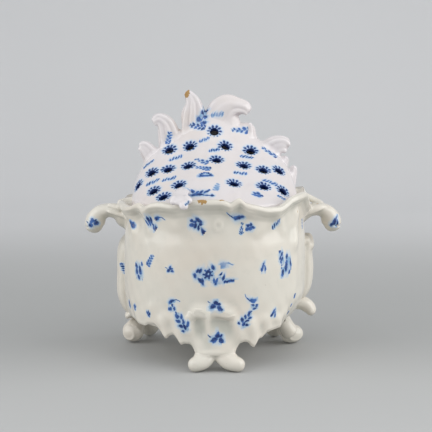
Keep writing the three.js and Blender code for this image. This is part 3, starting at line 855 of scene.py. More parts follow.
# The scroll on the front edge: its stem, which springs from the dome, then its lobes.
EDGE_SCROLL = [
    [(-23, -43, 137.8, 4.6, 3.2), (-23.6, -49.5, 138.8, 5, 3.2), (-24.8, -57, 139, 5.6, 3),
     (-26, -64, 138, 5.8, 3), (-26.4, -70.6, 135.6, 6.6, 3), (-25.4, -78, 133.8, 7, 2.8),
     (-24.4, -82.6, 131, 5.4, 2.6)],
    [(-29, -72, 135.6, 3, 2.4), (-31.4, -77, 134.2, 3, 2.4), (-31, -80.6, 131, 2.6, 2.2)],
    [(-24.8, -79, 133.4, 3.4, 2.6), (-23.4, -83.4, 130.6, 3.6, 2.6), (-22.4, -84.6, 127.2, 3, 2.2)],
    [(-23.8, -74, 135.8, 3, 2.4), (-20.4, -79, 134.8, 3, 2.4), (-19, -82.2, 132.2, 2.6, 2.2)],
]


# Painting. Each motif is drawn in its own flat place, in millimetres, by the material.
# Here is each motif's reach across and along, and then its number.
MOTIFS = {
    "daisy": (8.6, 8.6), "trefoil": (6, 6), "spray": (5.4, 10.5), "plume": (9.5, 5),
    "dashes": (7.5, 4.2), "cluster": (5.6, 5.6), "twig": (6.4, 10.5), "fan": (7.4, 5.4),
    "chip": (7, 4), "dab": (4.5, 3), "pair": (4.8, 5.4), "tuft": (14, 7), "posy": (8.6, 10),
    "garland": (21, 11), "sheaf": (7.4, 9.4), "lean": (8, 9), "spike": (10, 13), "chain": (7.5, 15),
}
NUMBER = {name: i + 1 for i, name in enumerate(MOTIFS)}
KINDS = len(MOTIFS) + 1
# Motifs made of plain dabs, and the washes under them: x, y, turn, length, width.
DABS = {
    "trefoil": [
        (-1.9, -0.8, 215, 2.0, 1.6), (0.3, 2.0, 80, 1.9, 1.6), (2.5, -1.5, 315, 2.0, 1.5),
        (2.3, 1.3, 30, 1.2, 0.9), (-4.4, 2.2, 145, 1.3, 0.35),
    ],
    "dashes": [
        (-4.8, -0.9, 75, 2.0, 0.7), (-2.4, -0.3, 62, 2.3, 0.75), (0, -0.2, 78, 1.8, 0.65),
        (2.3, 0.4, 60, 2.3, 0.8), (4.7, 0.9, 70, 2.2, 0.7),
    ],
    "cluster": [
        (-2.2, 1.2, 120, 2.2, 1.5), (0.5, 2.4, 85, 1.9, 1.3), (2.3, 0.4, 55, 2.0, 1.4),
        (-0.7, -1.2, 105, 2.2, 1.5), (1.5, -2.7, 115, 1.7, 1.1),
    ],
    "dab": [(0, 0, 0, 3.2, 1.8)],
    "pair": [(-0.7, -0.2, 66, 4.0, 1.15), (1.9, -0.9, 98, 2.6, 1.0), (-2.0, -2.3, 80, 1.6, 0.8)],
    "tuft": [
        (-5.8, 2.6, 118, 2.3, 1.5), (-2.4, 1.4, 70, 1.6, 1.2), (0.8, 1.6, 52, 2.3, 1.3),
        (5.0, 3.2, 55, 3.4, 1.2), (-2, -1.6, 5, 5.8, 1.9), (7.2, -1.9, 0, 3.6, 0.6),
        (10.8, -1.7, 0, 1.6, 1.4),
    ],
    "posy": [
        (-4.1, 2.1, 150, 1.8, 1.3), (0.5, 3.2, 130, 2.5, 1.6), (-4.2, -1.1, 20, 2.0, 1.6),
        (-1.9, -1.2, 80, 2.2, 1.4), (2.7, 1.8, 140, 2.2, 1.4), (2.9, -0.7, 10, 2.1, 1.4),
        (0.7, -3.3, 80, 1.7, 1.1), (-1.6, 1.5, 40, 1.6, 1.2), (4.8, -6.0, 122, 3.2, 1.5),
    ],
    "garland": [
        (-12.2, 1.2, 65, 2.2, 1.1), (-9.6, 1.7, 60, 2.4, 1.2), (-13.8, -2.6, 115, 2.2, 1.2),
        (-10.0, -5.9, 125, 2.4, 1.2), (-8.0, -7.0, 100, 3.0, 1.3), (-0.3, 4.6, 120, 2.1, 1.4),
        (6.0, -0.8, 60, 1.4, 0.8), (0.9, -6.0, 80, 1.9, 1.1), (3.1, -5.9, 60, 1.9, 1.1),
        (2.1, -8.0, 90, 1.6, 1.0), (8.1, -3.8, 75, 2.6, 0.9), (9.3, -7.0, 60, 1.7, 1.0),
        (11.6, -6.8, 30, 1.7, 1.1), (14.6, -6.3, 5, 3.2, 1.3),
    ],
    "sheaf": [
        (1.4, 0, 112, 3.6, 2.2), (-3.8, 2.8, 122, 2.4, 1.6), (-3.0, -1.4, 114, 2.7, 1.6),
        (-0.2, -5.8, 118, 2.3, 1.5), (4.0, 5.2, 100, 1.6, 1.1), (6.4, -8.6, 112, 2.5, 1.6),
    ],
    "lean": [
        (-1.1, 0.9, 112, 3.7, 1.1), (1.0, 1.3, 108, 2.9, 1.0), (-3.0, -0.8, 125, 2.4, 0.8),
        (3.1, -4.0, 105, 2.1, 0.9), (5.2, -5.2, 95, 3.0, 1.5), (2.5, -1.9, 130, 1.8, 0.8),
    ],
    "spike": [
        (-5.0, 10.2, 60, 1.9, 1.4), (-3.0, 7.2, 70, 1.8, 1.3), (-4.6, 4.8, 100, 1.6, 1.2),
        (-2.2, 3.6, 60, 1.7, 1.2), (-3.8, 1.6, 90, 1.5, 1.1), (-3.4, -1.6, 90, 0.8, 0.8),
        (-3.7, -4.0, 90, 0.8, 0.8), (-1.8, -8.0, 70, 2.9, 1.7), (3.2, 5.0, 80, 2.2, 1.3),
        (2.4, -2.4, 86, 4.7, 1.6), (7.8, -1.2, 96, 4.7, 0.9), (6.2, -7.6, 60, 2.2, 0.9),
    ],
    "chain": [
        (-2.2, 11.2, 150, 1.8, 1.1), (1.0, 12.6, 100, 1.8, 1.1), (1.3, 9.4, 40, 1.6, 0.9),
        (0.4, 5.6, 80, 1.4, 0.7), (-0.4, 2.8, 100, 2.4, 1.4), (2.0, 0.3, 60, 2.0, 1.1),
        (-1.9, -1.0, 120, 1.9, 1.1), (-2.2, -5.0, 130, 2.2, 1.3), (1.4, -3.6, 60, 2.1, 1.1),
        (0.6, -7.2, 90, 2.0, 1.3), (3.4, -6.4, 40, 1.8, 1.0), (-2.8, -8.8, 150, 1.6, 0.9),
    ],
}
WASHES = {
    "trefoil": [(0.2, 0, 0, 3.2, 2.6)], "dashes": [(0, 0, 8, 5.8, 1.3)],
    "cluster": [(0, 0, 100, 3.6, 3.0)], "dab": [(0, 0, 0, 3.6, 2.2)], "pair": [(0, 0, 75, 3.0, 2.0)],
    "tuft": [(-1.4, 0, 0, 6.4, 2.8)], "posy": [(-0.8, 0.4, 0, 5.6, 4.6), (4.8, -6, 122, 3.4, 2.2)],
    "garland": [
        (-0.3, 4.6, 120, 2.4, 1.8), (-11.4, -0.4, 60, 3.8, 2.8), (-9, -6.6, 120, 3.2, 2.2),
        (7.4, -6.2, 0, 9.4, 2.8),
    ],
    "sheaf": [(-0.8, -0.8, 100, 7.0, 5.0), (6.4, -8.6, 105, 2.8, 2.0)],
    "lean": [(-0.6, 0.4, 112, 4.8, 3.0), (4.4, -4.6, 100, 3.6, 2.2)],
    "spike": [(-3.6, 5.6, 100, 7.0, 3.2), (4.6, -2.6, 88, 7.2, 3.8), (-2.2, -7.4, 75, 3.8, 2.4)],
    "chain": [(0, 11, 90, 3.2, 2.8), (0, 1.2, 90, 4.6, 2.8), (0, -6, 90, 4.4, 3.8)],
}
# A dab that lies too far away to show, and the spans of a table's places and sizes.
NO_DAB = (20, 20, 0, 0.1, 0.1)
PLACE_SPAN, SIZE_SPAN = 40, 10
# Where the motifs sit in the front view: motif, across, down, turn in degrees, size,
# depth of the blue from 0 to 1.
VESSEL_SPRIGS = [
    ("dab", 132.2, 224.4, -24, 1.25, 0.45), ("lean", 150, 222, 0, 1.0, 0.9),
    ("plume", 158.6, 217.6, 12, 0.85, 0.6), ("posy", 197, 224, 0, 1.0, 0.95),
    ("plume", 234.6, 217.6, 166, 1.05, 0.9), ("cluster", 249.8, 227.5, 60, 0.85, 0.75),
    ("chain", 241.6, 229, -8, 0.42, 0.7), ("dashes", 276, 224, 35, 0.85, 0.75),
    ("twig", 302, 223.5, 20, 0.5, 0.1), ("dashes", 123.4, 268.5, 110, 0.9, 0.8),
    ("sheaf", 139, 270, 0, 1.0, 0.75), ("spray", 150, 260.5, -32, 0.66, 0.2),
    ("trefoil", 170, 270, 10, 0.78, 0.8), ("garland", 213, 273, 0, 1.0, 0.8),
    ("plume", 225.4, 264.2, 8, 1.0, 0.0), ("pair", 263.4, 266.6, -6, 0.95, 0.8),
    ("spike", 284.5, 263, 0, 1.0, 0.7), ("dab", 129.6, 304, -65, 0.9, 0.7),
    ("cluster", 134.8, 307.4, 10, 0.62, 0.7), ("cluster", 148.4, 313.6, 0, 0.66, 0.8),
    ("plume", 173.4, 300.6, 15, 0.8, 0.5), ("chain", 179.6, 319.4, 36, 1.02, 0.75),
    ("trefoil", 215.6, 306, 0, 1.2, 1.0), ("plume", 250.6, 300.2, 158, 0.9, 0.5),
    ("chain", 247.6, 316.6, -36, 0.92, 0.85), ("pair", 273.8, 312.6, -20, 0.9, 0.8),
    ("dab", 294.8, 295.5, 78, 0.7, 0.5), ("dab", 291.2, 305, 72, 0.5, 0.4),
    ("dab", 288, 312.5, 70, 0.5, 0.5), ("trefoil", 217, 338.4, 5, 1.2, 1.0),
    ("trefoil", 92.7, 223.4, 20, 1.05, 0.95), ("pair", 335.6, 221.5, -8, 1.2, 0.95),
    ("chip", 201.8, 201.0, 4, 1.6, 0.9), ("chip", 221.8, 200.2, 4, 0.9, 0.5),
    ("chip", 317.6, 203.6, 70, 0.5, 0.6), ("chip", 297.6, 211.6, 80, 0.28, 0.8),
]
COVER_SPRIGS = [
    ("twig", 203, 116, -24, 1.1, 0.8), ("spray", 197.5, 126.6, 88, 0.86, 0.9),
    ("dashes", 217, 114.5, 0, 0.9, 0.0), ("dashes", 204.6, 139.4, 20, 0.8, 0.3),
    ("twig", 239.5, 130.5, 80, 0.78, 0.5), ("dashes", 214.6, 150, 5, 0.9, 0.4),
    ("spray", 169, 138, -10, 0.66, 0.3), ("dashes", 175.6, 158, 30, 1.0, 0.5),
    ("twig", 269.5, 152, 30, 0.86, 0.5), ("dashes", 247, 157, -25, 0.95, 0.7),
    ("twig", 202, 161, 62, 0.8, 0.5), ("spray", 203, 168, 80, 0.8, 0.3),
    ("fan", 205, 175.8, 0, 1.0, 0.5), ("dashes", 240, 173, -20, 1.0, 0.5),
    ("dashes", 169, 178.8, 20, 1.05, 0.5), ("dashes", 152.6, 182, 35, 1.0, 0.5),
    ("dashes", 148.2, 164, 60, 1.0, 0.4), ("dashes", 270, 182, -45, 1.1, 0.5),
    ("cluster", 257, 194.5, 30, 0.95, 0.7), ("dashes", 282.4, 198, -50, 0.8, 0.4),
    ("tuft", 199.6, 193.4, 0, 1.0, 0.8), ("twig", 216.6, 187, -15, 0.6, 0.05),
    ("dashes", 187, 203.4, 20, 0.45, 0.9), ("dab", 162, 199, 60, 0.8, 0.9),
    ("chip", 186.2, 94.6, 75, 1.7, 0.8), ("chip", 179.2, 130, 20, 0.3, 1.0),
]


def seen(across, down):
    """Direction in which the eye sees a place of the front view."""
    x = (across - PICTURE / 2) / EYE_FOCUS
    z = -(down - PICTURE / 2) / EYE_FOCUS
    ahead = Vector((0, math.cos(EYE_PITCH), -math.sin(EYE_PITCH)))
    up = Vector((0, math.sin(EYE_PITCH), math.cos(EYE_PITCH)))
    return (ahead + up * z + Vector((1, 0, 0)) * x).normalized()


# Steps away from a place of the front view that has nothing behind it.
AROUND = [(0, 0)] + [
    (r * math.cos(a), r * math.sin(a)) for r in (1, 2, 3, 4) for a in np.arange(8) * math.pi / 4
]


def motif_places(pieces, table):
    """Where each motif of a table lies on these pieces: kind, tone, place, axes."""
    trees = [surface(p.data) for p in pieces]
    eye = EYE * MM + SHIFT
    places = []
    for kind, across, down, turn, size, tone in table:
        for dx, dy in AROUND:
            hits = [t.ray_cast(eye, seen(across + dx, down + dy)) for t in trees]
            hits = [h for h in hits if h[0] is not None]
            if hits:
                break
        else:
            raise RuntimeError(f"nothing carries the {kind} at {across}, {down}")
        at, normal, _, _ = min(hits, key=lambda h: h[3])
        places.append(axes_at(kind, at, smooth_normal(trees, at, normal), turn, size, tone))
    return places


def smooth_normal(trees, at, normal):
    """The surface's direction, evened out over a few millimetres."""
    total = normal.copy()
    for dx, dz in ((4, 0), (-4, 0), (0, 4), (0, -4)):
        probe = at + Vector((dx, 0, dz)) * MM + normal * 2 * MM
        for tree in trees:
            near = tree.find_nearest(probe, 5 * MM)
            if near[0] is not None and near[1].dot(normal) > 0.5:
                total += near[1]
                break
    return total.normalized()


def axes_at(kind, at, normal, turn, size, tone):
    side = Vector((0, 0, 1)).cross(normal)
    side = side.normalized() if side.length > 1e-3 else Vector((1, 0, 0))
    up = normal.cross(side)
    a = math.radians(turn)
    across = side * math.cos(a) + up * math.sin(a)
    along = up * math.cos(a) - side * math.sin(a)
    return kind, tone, at, across / (size * MM), along / (size * MM), normal


# A corner's place where no motif reaches, and a distance that no motif reaches.
UNPAINTED = 90
OUT_OF_REACH = 9
# A motif keeps to faces that look its way at least this squarely and lie this far or
# less under and over it, in millimetres; a daisy goes on down into its stem hole.
FACING, UNDER, OVER = 0.1, -9, 9
HOLE_FACING, HOLE_UNDER = -0.4, -6
# The tone of a motif is written behind its number, clear of the whole numbers.
TONE_SHARE, TONE_START = 0.9, 0.05


def paint(piece, places):
    """Writes to each face corner its place in the nearest motif, and that motif."""
    mesh = piece.data
    count = len(mesh.polygons)
    centre, normal = np.zeros(count * 3), np.zeros(count * 3)
    mesh.polygons.foreach_get("center", centre)
    mesh.polygons.foreach_get("normal", normal)
    centre, normal = centre.reshape(-1, 3), normal.reshape(-1, 3)
    best, code = np.full(count, 1.0), np.zeros(count)
    which = np.full(count, -1)
    for k, (kind, tone, at, across, along, facing) in enumerate(places):
        wide, high = MOTIFS[kind]
        away = centre - np.array(at)
        u, v = away @ np.array(across), away @ np.array(along)
        deep = away @ np.array(facing) / MM
        far = np.sqrt((u / wide) ** 2 + (v / high) ** 2)
        least_facing, under = (HOLE_FACING, HOLE_UNDER) if kind == "daisy" else (FACING, UNDER)
        hidden = normal @ np.array(facing) < least_facing
        far[hidden | (deep < under) | (deep > OVER)] = OUT_OF_REACH
        near = far < best
        best[near], which[near] = far[near], k
        code[near] = NUMBER[kind] + tone * TONE_SHARE + TONE_START
    corners = len(mesh.loops)
    vertex, start = np.zeros(corners, int), np.zeros(count, int)
    mesh.loops.foreach_get("vertex_index", vertex)
    mesh.polygons.foreach_get("loop_start", start)
    length = np.diff(np.append(start, corners))
    face = np.repeat(np.arange(count), length)
    point = np.zeros(len(mesh.vertices) * 3)
    mesh.vertices.foreach_get("co", point)
    point = point.reshape(-1, 3)[vertex]
    made = np.zeros((corners, 3))
    made[:, :2] = UNPAINTED
    if places:
        at = np.array([p[2] for p in places])[which[face]]
        across = np.array([p[3] for p in places])[which[face]]
        along = np.array([p[4] for p in places])[which[face]]
        away = point - at
        on = which[face] >= 0
        made[on, 0] = (away * across).sum(1)[on]
        made[on, 1] = (away * along).sum(1)[on]
        made[:, 2] = code[face]
    layer = mesh.attributes.new("sprig", "FLOAT_VECTOR", "CORNER")
    layer.data.foreach_set("vector", made.ravel())


# Rounds of evening that find the hollows and that soften them, how strongly they count,
# and the downward lean past which an overhang is darkened as well, as painted shade.
FINDING, SOFTENING, HOLLOW_GAIN, OVERHANG = 6, 3, 2.5, 0.15


def hollows(piece):
    """Writes how sunken each vertex lies, where the glaze gathers and looks deeper; the value also carries
    painted shade in hollows and under overhangs, and painted light below nought on rounded clay.
    """
    mesh = piece.data
    n = len(mesh.vertices)
    edges = np.zeros(len(mesh.edges) * 2, int)
    mesh.edges.foreach_get("vertices", edges)
    edges = edges.reshape(-1, 2)
    co, normal = np.zeros(n * 3), np.zeros(n * 3)
    mesh.vertices.foreach_get("co", co)
    mesh.vertex_normals.foreach_get("vector", normal)
    co, normal = co.reshape(-1, 3), normal.reshape(-1, 3)
    links = np.bincount(edges.ravel(), minlength=n).clip(1)

    def mean(values):
        total = np.zeros_like(values)
        np.add.at(total, edges[:, 0], values[edges[:, 1]])
        np.add.at(total, edges[:, 1], values[edges[:, 0]])
        return total / (links[:, None] if values.ndim > 1 else links)

    even = co
    for _ in range(FINDING):
        even = (even + mean(even)) / 2
    sunk = ((even - co) * normal).sum(1) / MM
    for _ in range(SOFTENING):
        sunk = (sunk + mean(sunk)) / 2
    # Painted shade: faces that lean downward count as sunken, so the glaze is darker under overhangs.
    downward_painted_shade = np.clip(-normal[:, 2] - OVERHANG, 0, 0.5)
    layer = mesh.attributes.new("sunk", "FLOAT", "POINT")
    # Above nought: gathered glaze and painted shade; below nought on rounded clay: painted light.
    sunk = np.clip(sunk * HOLLOW_GAIN + downward_painted_shade, -1, 1)
    layer.data.foreach_set("value", sunk.astype(np.float32))


# Nodes.


def put(tree, kind, inputs=None, **settings):
    """A node with its settings, its inputs linked or set."""
    node = tree.nodes.new("ShaderNode" + kind)
    for key, value in settings.items():
        setattr(node, key, value)
    for key, value in (inputs or {}).items():
        if isinstance(value, bpy.types.NodeSocket):
            tree.links.new(value, node.inputs[key])
        else:
            node.inputs[key].default_value = value
    return node


def calc(tree, operation, *values, clamp=False):
    node = put(tree, "Math", dict(enumerate(values)), operation=operation, use_clamp=clamp)
    return node.outputs[0]


def vector(tree, operation, *values):
    return put(tree, "VectorMath", dict(enumerate(values)), operation=operation).outputs[0]


def scaled(tree, value, by):
    return put(tree, "VectorMath", {0: value, "Scale": by}, operation="SCALE").outputs[0]


def length(tree, value):
    return put(tree, "VectorMath", {0: value}, operation="LENGTH").outputs["Value"]


def parts(tree, value):
    return put(tree, "SeparateXYZ", {0: value}).outputs


def joined(tree, x, y):
    return put(tree, "CombineXYZ", {0: x, 1: y}).outputs[0]


def mix(tree, share, first, second, kind="RGBA"):
    node = put(tree, "Mix", {0: share, "A": first, "B": second}, data_type=kind)
    return node.outputs["Result"]


def noise(tree, where, scale, detail, output="Fac"):
    return put(tree, "TexNoise", {"Vector": where, "Scale": scale, "Detail": detail}).outputs[output]


def within(tree, distance, inner, outer):
    """1 up to the inner distance, falling smoothly to 0 at the outer one."""
    return put(
        tree, "MapRange",
        {"Value": distance, "From Min": inner, "From Max": outer, "To Min": 1.0, "To Max": 0.0},
        interpolation_type="SMOOTHSTEP",
    ).outputs[0]


def nearest(tree, *distances):
    best = distances[0]
    for other in distances[1:]:
        best = calc(tree, "MINIMUM", best, other)
    return best


def group(name, inputs, outputs, build):
    """A node group with these sockets, each a name and a type, built once."""
    if name in bpy.data.node_groups:
        return bpy.data.node_groups[name]
    tree = bpy.data.node_groups.new(name, "ShaderNodeTree")
    for socket, kind, default in inputs:
        made = tree.interface.new_socket(socket, in_out="INPUT", socket_type="NodeSocket" + kind)
        if default is not None:
            made.default_value = default
    for socket, kind in outputs:
        tree.interface.new_socket(socket, in_out="OUTPUT", socket_type="NodeSocket" + kind)
    source, sink = tree.nodes.new("NodeGroupInput"), tree.nodes.new("NodeGroupOutput")
    for socket, value in build(tree, source.outputs).items():
        tree.links.new(value, sink.inputs[socket])
    return tree


def use(tree, made, inputs):
    return put(tree, "Group", inputs, node_tree=made).outputs


# Brush strokes. Each gives a distance that is 1 at the edge of the stroke.


def dab_build(tree, given):
    """A brush dab: broad where the brush lands, drawn out to a point."""
    local = parts(tree, given["Place"])
    narrowing = calc(tree, "MULTIPLY_ADD", local[0], 0.16, 1.04)
    return {"Distance": length(tree, joined(tree, local[0], calc(tree, "MULTIPLY", local[1], narrowing)))}


def unit_dab(tree, place):
    made = group("brush dab", [("Place", "Vector", None)], [("Distance", "Float")], dab_build)
    return use(tree, made, {"Place": place})["Distance"]


def placed_dab(tree, place, at, turn, size):
    local = put(
        tree, "Mapping", {"Vector": place, "Location": at, "Rotation": turn, "Scale": size},
        vector_type="TEXTURE",
    ).outputs[0]
    return unit_dab(tree, local)


def dab(tree, place, x, y, turn, long, wide):
    return placed_dab(tree, place, (x, y, 0), (0, 0, math.radians(turn)), (long, wide, 1))


def petals_build(tree, given):
    """Dabs set round a centre: Count of them, at a Ring, with a length and a width."""
    local = parts(tree, given["Place"])
    angle = calc(tree, "ARCTAN2", local[1], local[0])
    radius = length(tree, joined(tree, local[0], local[1]))
    turns = calc(tree, "MULTIPLY", calc(tree, "DIVIDE", angle, 2 * math.pi), given["Count"])
    part = calc(tree, "SUBTRACT", calc(tree, "FRACT", calc(tree, "ADD", turns, 20)), 0.5)
    arc = calc(tree, "MULTIPLY", part, calc(tree, "DIVIDE", 2 * math.pi, given["Count"]))
    x = calc(tree, "DIVIDE", calc(tree, "SUBTRACT", given["Ring"], radius), given["Length"])
    y = calc(tree, "DIVIDE", calc(tree, "MULTIPLY", arc, radius), given["Width"])
    return {"Distance": unit_dab(tree, joined(tree, x, y)), "Radius": radius}


def petals(tree, place, count, ring, long, wide):
    made = group(
        "petals",
        [("Place", "Vector", None), ("Count", "Float", 5.0), ("Ring", "Float", 2.0),
         ("Length", "Float", 1.0), ("Width", "Float", 1.0)],
        [("Distance", "Float"), ("Radius", "Float")],
        petals_build,
    )
    return use(tree, made, {"Place": place, "Count": count, "Ring": ring, "Length": long, "Width": wide})


def leaf_row_build(tree, given):
    """Dabs in turn on both sides of a hair stem that runs up the place."""
    local = parts(tree, given["Place"])
    u, v = local[0], local[1]
    beside = calc(tree, "ABSOLUTE", u)
    cells = calc(tree, "DIVIDE", v, given["Spacing"])
    cells = calc(tree, "MULTIPLY_ADD", calc(tree, "GREATER_THAN", u, 0.0), 0.45, cells)
    part = calc(tree, "SUBTRACT", calc(tree, "FRACT", calc(tree, "ADD", cells, 20)), 0.5)
    taper = calc(tree, "SUBTRACT", 1.05, calc(tree, "MULTIPLY", v, 0.04))
    x = calc(tree, "DIVIDE", beside, taper)
    y = calc(tree, "DIVIDE", calc(tree, "MULTIPLY", part, given["Spacing"]), taper)
    leaf = dab(tree, joined(tree, x, y), 1.7, 0.1, 48, 1.75, 1.15)
    best = nearest(tree, leaf, calc(tree, "DIVIDE", beside, 0.28))
    beyond = calc(tree, "GREATER_THAN", calc(tree, "ABSOLUTE", v), given["Reach"])
    return {"Distance": calc(tree, "MULTIPLY_ADD", beyond, OUT_OF_REACH, best)}


def leaf_row(tree, place, spacing, reach):
    made = group(
        "leaf row",
        [("Place", "Vector", None), ("Spacing", "Float", 2.5), ("Reach", "Float", 8.0)],
        [("Distance", "Float")], leaf_row_build,
    )
    return use(tree, made, {"Place": place, "Spacing": spacing, "Reach": reach})["Distance"]


def table_value(tree, index, rows):
    """Three numbers from 0 to 1 for each kind of motif, kept in the steps of a colour ramp."""
    node = put(tree, "ValToRGB", {0: index})
    ramp = node.color_ramp
    ramp.interpolation = "CONSTANT"
    ramp.elements.remove(ramp.elements[1])
    ramp.elements[0].position = 0
    for number, row in enumerate(rows):
        element = ramp.elements.new(number / KINDS) if number else ramp.elements[0]
        element.color = (*row, 1)
    return node.outputs["Color"]


def brushed(tree, place, index, tables):
    """How far the place lies from the nearest dab of its motif's table."""
    dabs = [[]] + [tables.get(name, []) for name in MOTIFS]
    strokes = []
    for k in range(max(len(rows) for rows in dabs)):
        slot = [rows[k] if k < len(rows) else NO_DAB for rows in dabs]
        spots = [(x / PLACE_SPAN + 0.5, y / PLACE_SPAN + 0.5, turn / 360) for x, y, turn, _, _ in slot]
        sizes = [(long / SIZE_SPAN, wide / SIZE_SPAN, 1 / SIZE_SPAN) for _, _, _, long, wide in slot]
        spot, size = table_value(tree, index, spots), table_value(tree, index, sizes)
        half = -PLACE_SPAN / 2
        at = vector(tree, "MULTIPLY_ADD", spot, (PLACE_SPAN, PLACE_SPAN, 0), (half, half, 0))
        turn = vector(tree, "MULTIPLY", spot, (0, 0, 2 * math.pi))
        size = vector(tree, "MULTIPLY", size, (SIZE_SPAN, SIZE_SPAN, SIZE_SPAN))
        strokes.append(placed_dab(tree, place, at, turn, size))
    return nearest(tree, *strokes)


# Motifs with a rule of their own. Each gives its strokes and the wash under them.


def daisy_motif(tree, place):
    """Petals round a stem hole, fuller above it, with a thin dark ring at its edge."""
    dots = petals(tree, place, 11, 5.2, 1.45, 1.05)
    above = calc(tree, "MULTIPLY_ADD", parts(tree, place)[1], 0.12, 0.95, clamp=True)
    above = calc(tree, "MAXIMUM", above, 0.05)
    edge = calc(tree, "DIVIDE", calc(tree, "SUBTRACT", dots["Radius"], 3.3), 0.6)
    edge = calc(tree, "MAXIMUM", edge, 0.0)
    strokes = nearest(tree, calc(tree, "DIVIDE", dots["Distance"], above), edge)
    return strokes, calc(tree, "DIVIDE", dots["Radius"], 5.0)


def rose_ring(tree, place, x, y):
    """A dark ring with a pale heart and short petals about it."""
    ring = petals(tree, vector(tree, "SUBTRACT", place, (x, y, 0)), 7, 3.6, 0.9, 0.8)
    heart = calc(tree, "ABSOLUTE", calc(tree, "SUBTRACT", ring["Radius"], 1.9))
    heart = calc(tree, "MULTIPLY", heart, 0.85)
    return nearest(tree, ring["Distance"], heart), calc(tree, "DIVIDE", ring["Radius"], 5.4)


def plume_motif(tree, place):
    """A curled leaf drawn out to a hair."""
    local = parts(tree, place)
    bent = calc(tree, "MULTIPLY_ADD", calc(tree, "MULTIPLY", local[0], local[0]), 0.06, local[1])
    place = joined(tree, local[0], bent)
    leaf, hair = dab(tree, place, -2.4, 0, 0, 3.4, 2.0), dab(tree, place, 2.8, 0.5, 0, 5.2, 0.5)
    return nearest(tree, leaf, hair), dab(tree, place, -1.8, -0.6, 0, 4.2, 2.4)


def spray_motif(tree, place):
    return leaf_row(tree, place, 3.9, 8.6), dab(tree, place, 0, 0, 90, 8.6, 2.6)


def twig_motif(tree, place):
    return leaf_row(tree, place, 5.2, 9), dab(tree, place, 0, 0, 90, 8.8, 2.8)


def fan_motif(tree, place):
    """Half a daisy over a long dab."""
    low = calc(tree, "LESS_THAN", parts(tree, place)[1], 0.3)
    rays = petals(tree, place, 15, 4.7, 1.4, 0.9)["Distance"]
    rays = calc(tree, "MULTIPLY_ADD", low, OUT_OF_REACH, rays)
    bar = dab(tree, place, 0, 0.4, 0, 6.0, 1.5)
    return nearest(tree, rays, bar), dab(tree, place, 0, 1.6, 0, 6.4, 3.4)


def chip_motif(tree, place):
    """A flake broken from the glaze, with a ragged edge."""
    flake = dab(tree, place, 0, 0, 0, 4.8, 2.0)
    return calc(tree, "MULTIPLY_ADD", noise(tree, place, 0.9, 4.0), 0.9, flake)


RULED = {
    "daisy": daisy_motif, "spray": spray_motif, "plume": plume_motif, "twig": twig_motif,
    "fan": fan_motif,
}
ROSE_AT = -3.8, -0.8
# Where the edges of these soften, as distances from a stroke.
STROKE_EDGE, HALO_EDGE, BARE_EDGE = (0.85, 1.2), (1.2, 3.2), (1.0, 1.12)
WASH_EDGE, NEAR_WASH_EDGE, HOLE_EDGE = (0.8, 1.3), (1.1, 1.8), (0.6, 1.0)
# Up to this tone a motif is only faintly painted.
FAINT_TONE = 0.12


def is_kind(tree, kind, name):
    return calc(tree, "COMPARE", kind, NUMBER[name], 0.4)


def only_on(tree, kind, name, distance):
    """The distance on this kind of motif, and too far elsewhere."""
    other = calc(tree, "SUBTRACT", 1.0, is_kind(tree, kind, name))
    return calc(tree, "MULTIPLY_ADD", other, 30, distance)


def jitter(tree, where, scale, detail):
    """Small steps about nought, alike for places that lie close together."""
    return vector(tree, "SUBTRACT", noise(tree, where, scale, detail, "Color"), (0.5, 0.5, 0.5))


def unsteady(tree, place, where, code, wobble):
    """The place as a hand that isn't steady finds it; a daisy keeps to its hole."""
    place = vector(tree, "ADD", place, scaled(tree, jitter(tree, where, 520.0, 1.0), wobble))
    sway = vector(tree, "MULTIPLY", jitter(tree, where, 150.0, 0.0), (2.2, 2.2, 0))
    still = calc(tree, "COMPARE", code, NUMBER["daisy"] + 0.5, 0.5)
    sway = scaled(tree, sway, calc(tree, "MULTIPLY_ADD", still, -0.8, 1.0))
    return vector(tree, "ADD", place, sway)


def drawn(tree, place, kind):
    """How far a place lies from the strokes of its motif, and from the wash under them."""
    index = calc(tree, "DIVIDE", calc(tree, "ADD", kind, 0.5), KINDS)
    best, under = brushed(tree, place, index, DABS), brushed(tree, place, index, WASHES)
    rose, rose_wash = rose_ring(tree, place, *ROSE_AT)
    best = nearest(tree, best, only_on(tree, kind, "garland", rose))
    under = nearest(tree, under, only_on(tree, kind, "garland", rose_wash))
    for name, motif in RULED.items():
        strokes, wash = motif(tree, place)
        here = is_kind(tree, kind, name)
        best = mix(tree, here, best, strokes, "FLOAT")
        under = mix(tree, here, under, wash, "FLOAT")
    return best, under


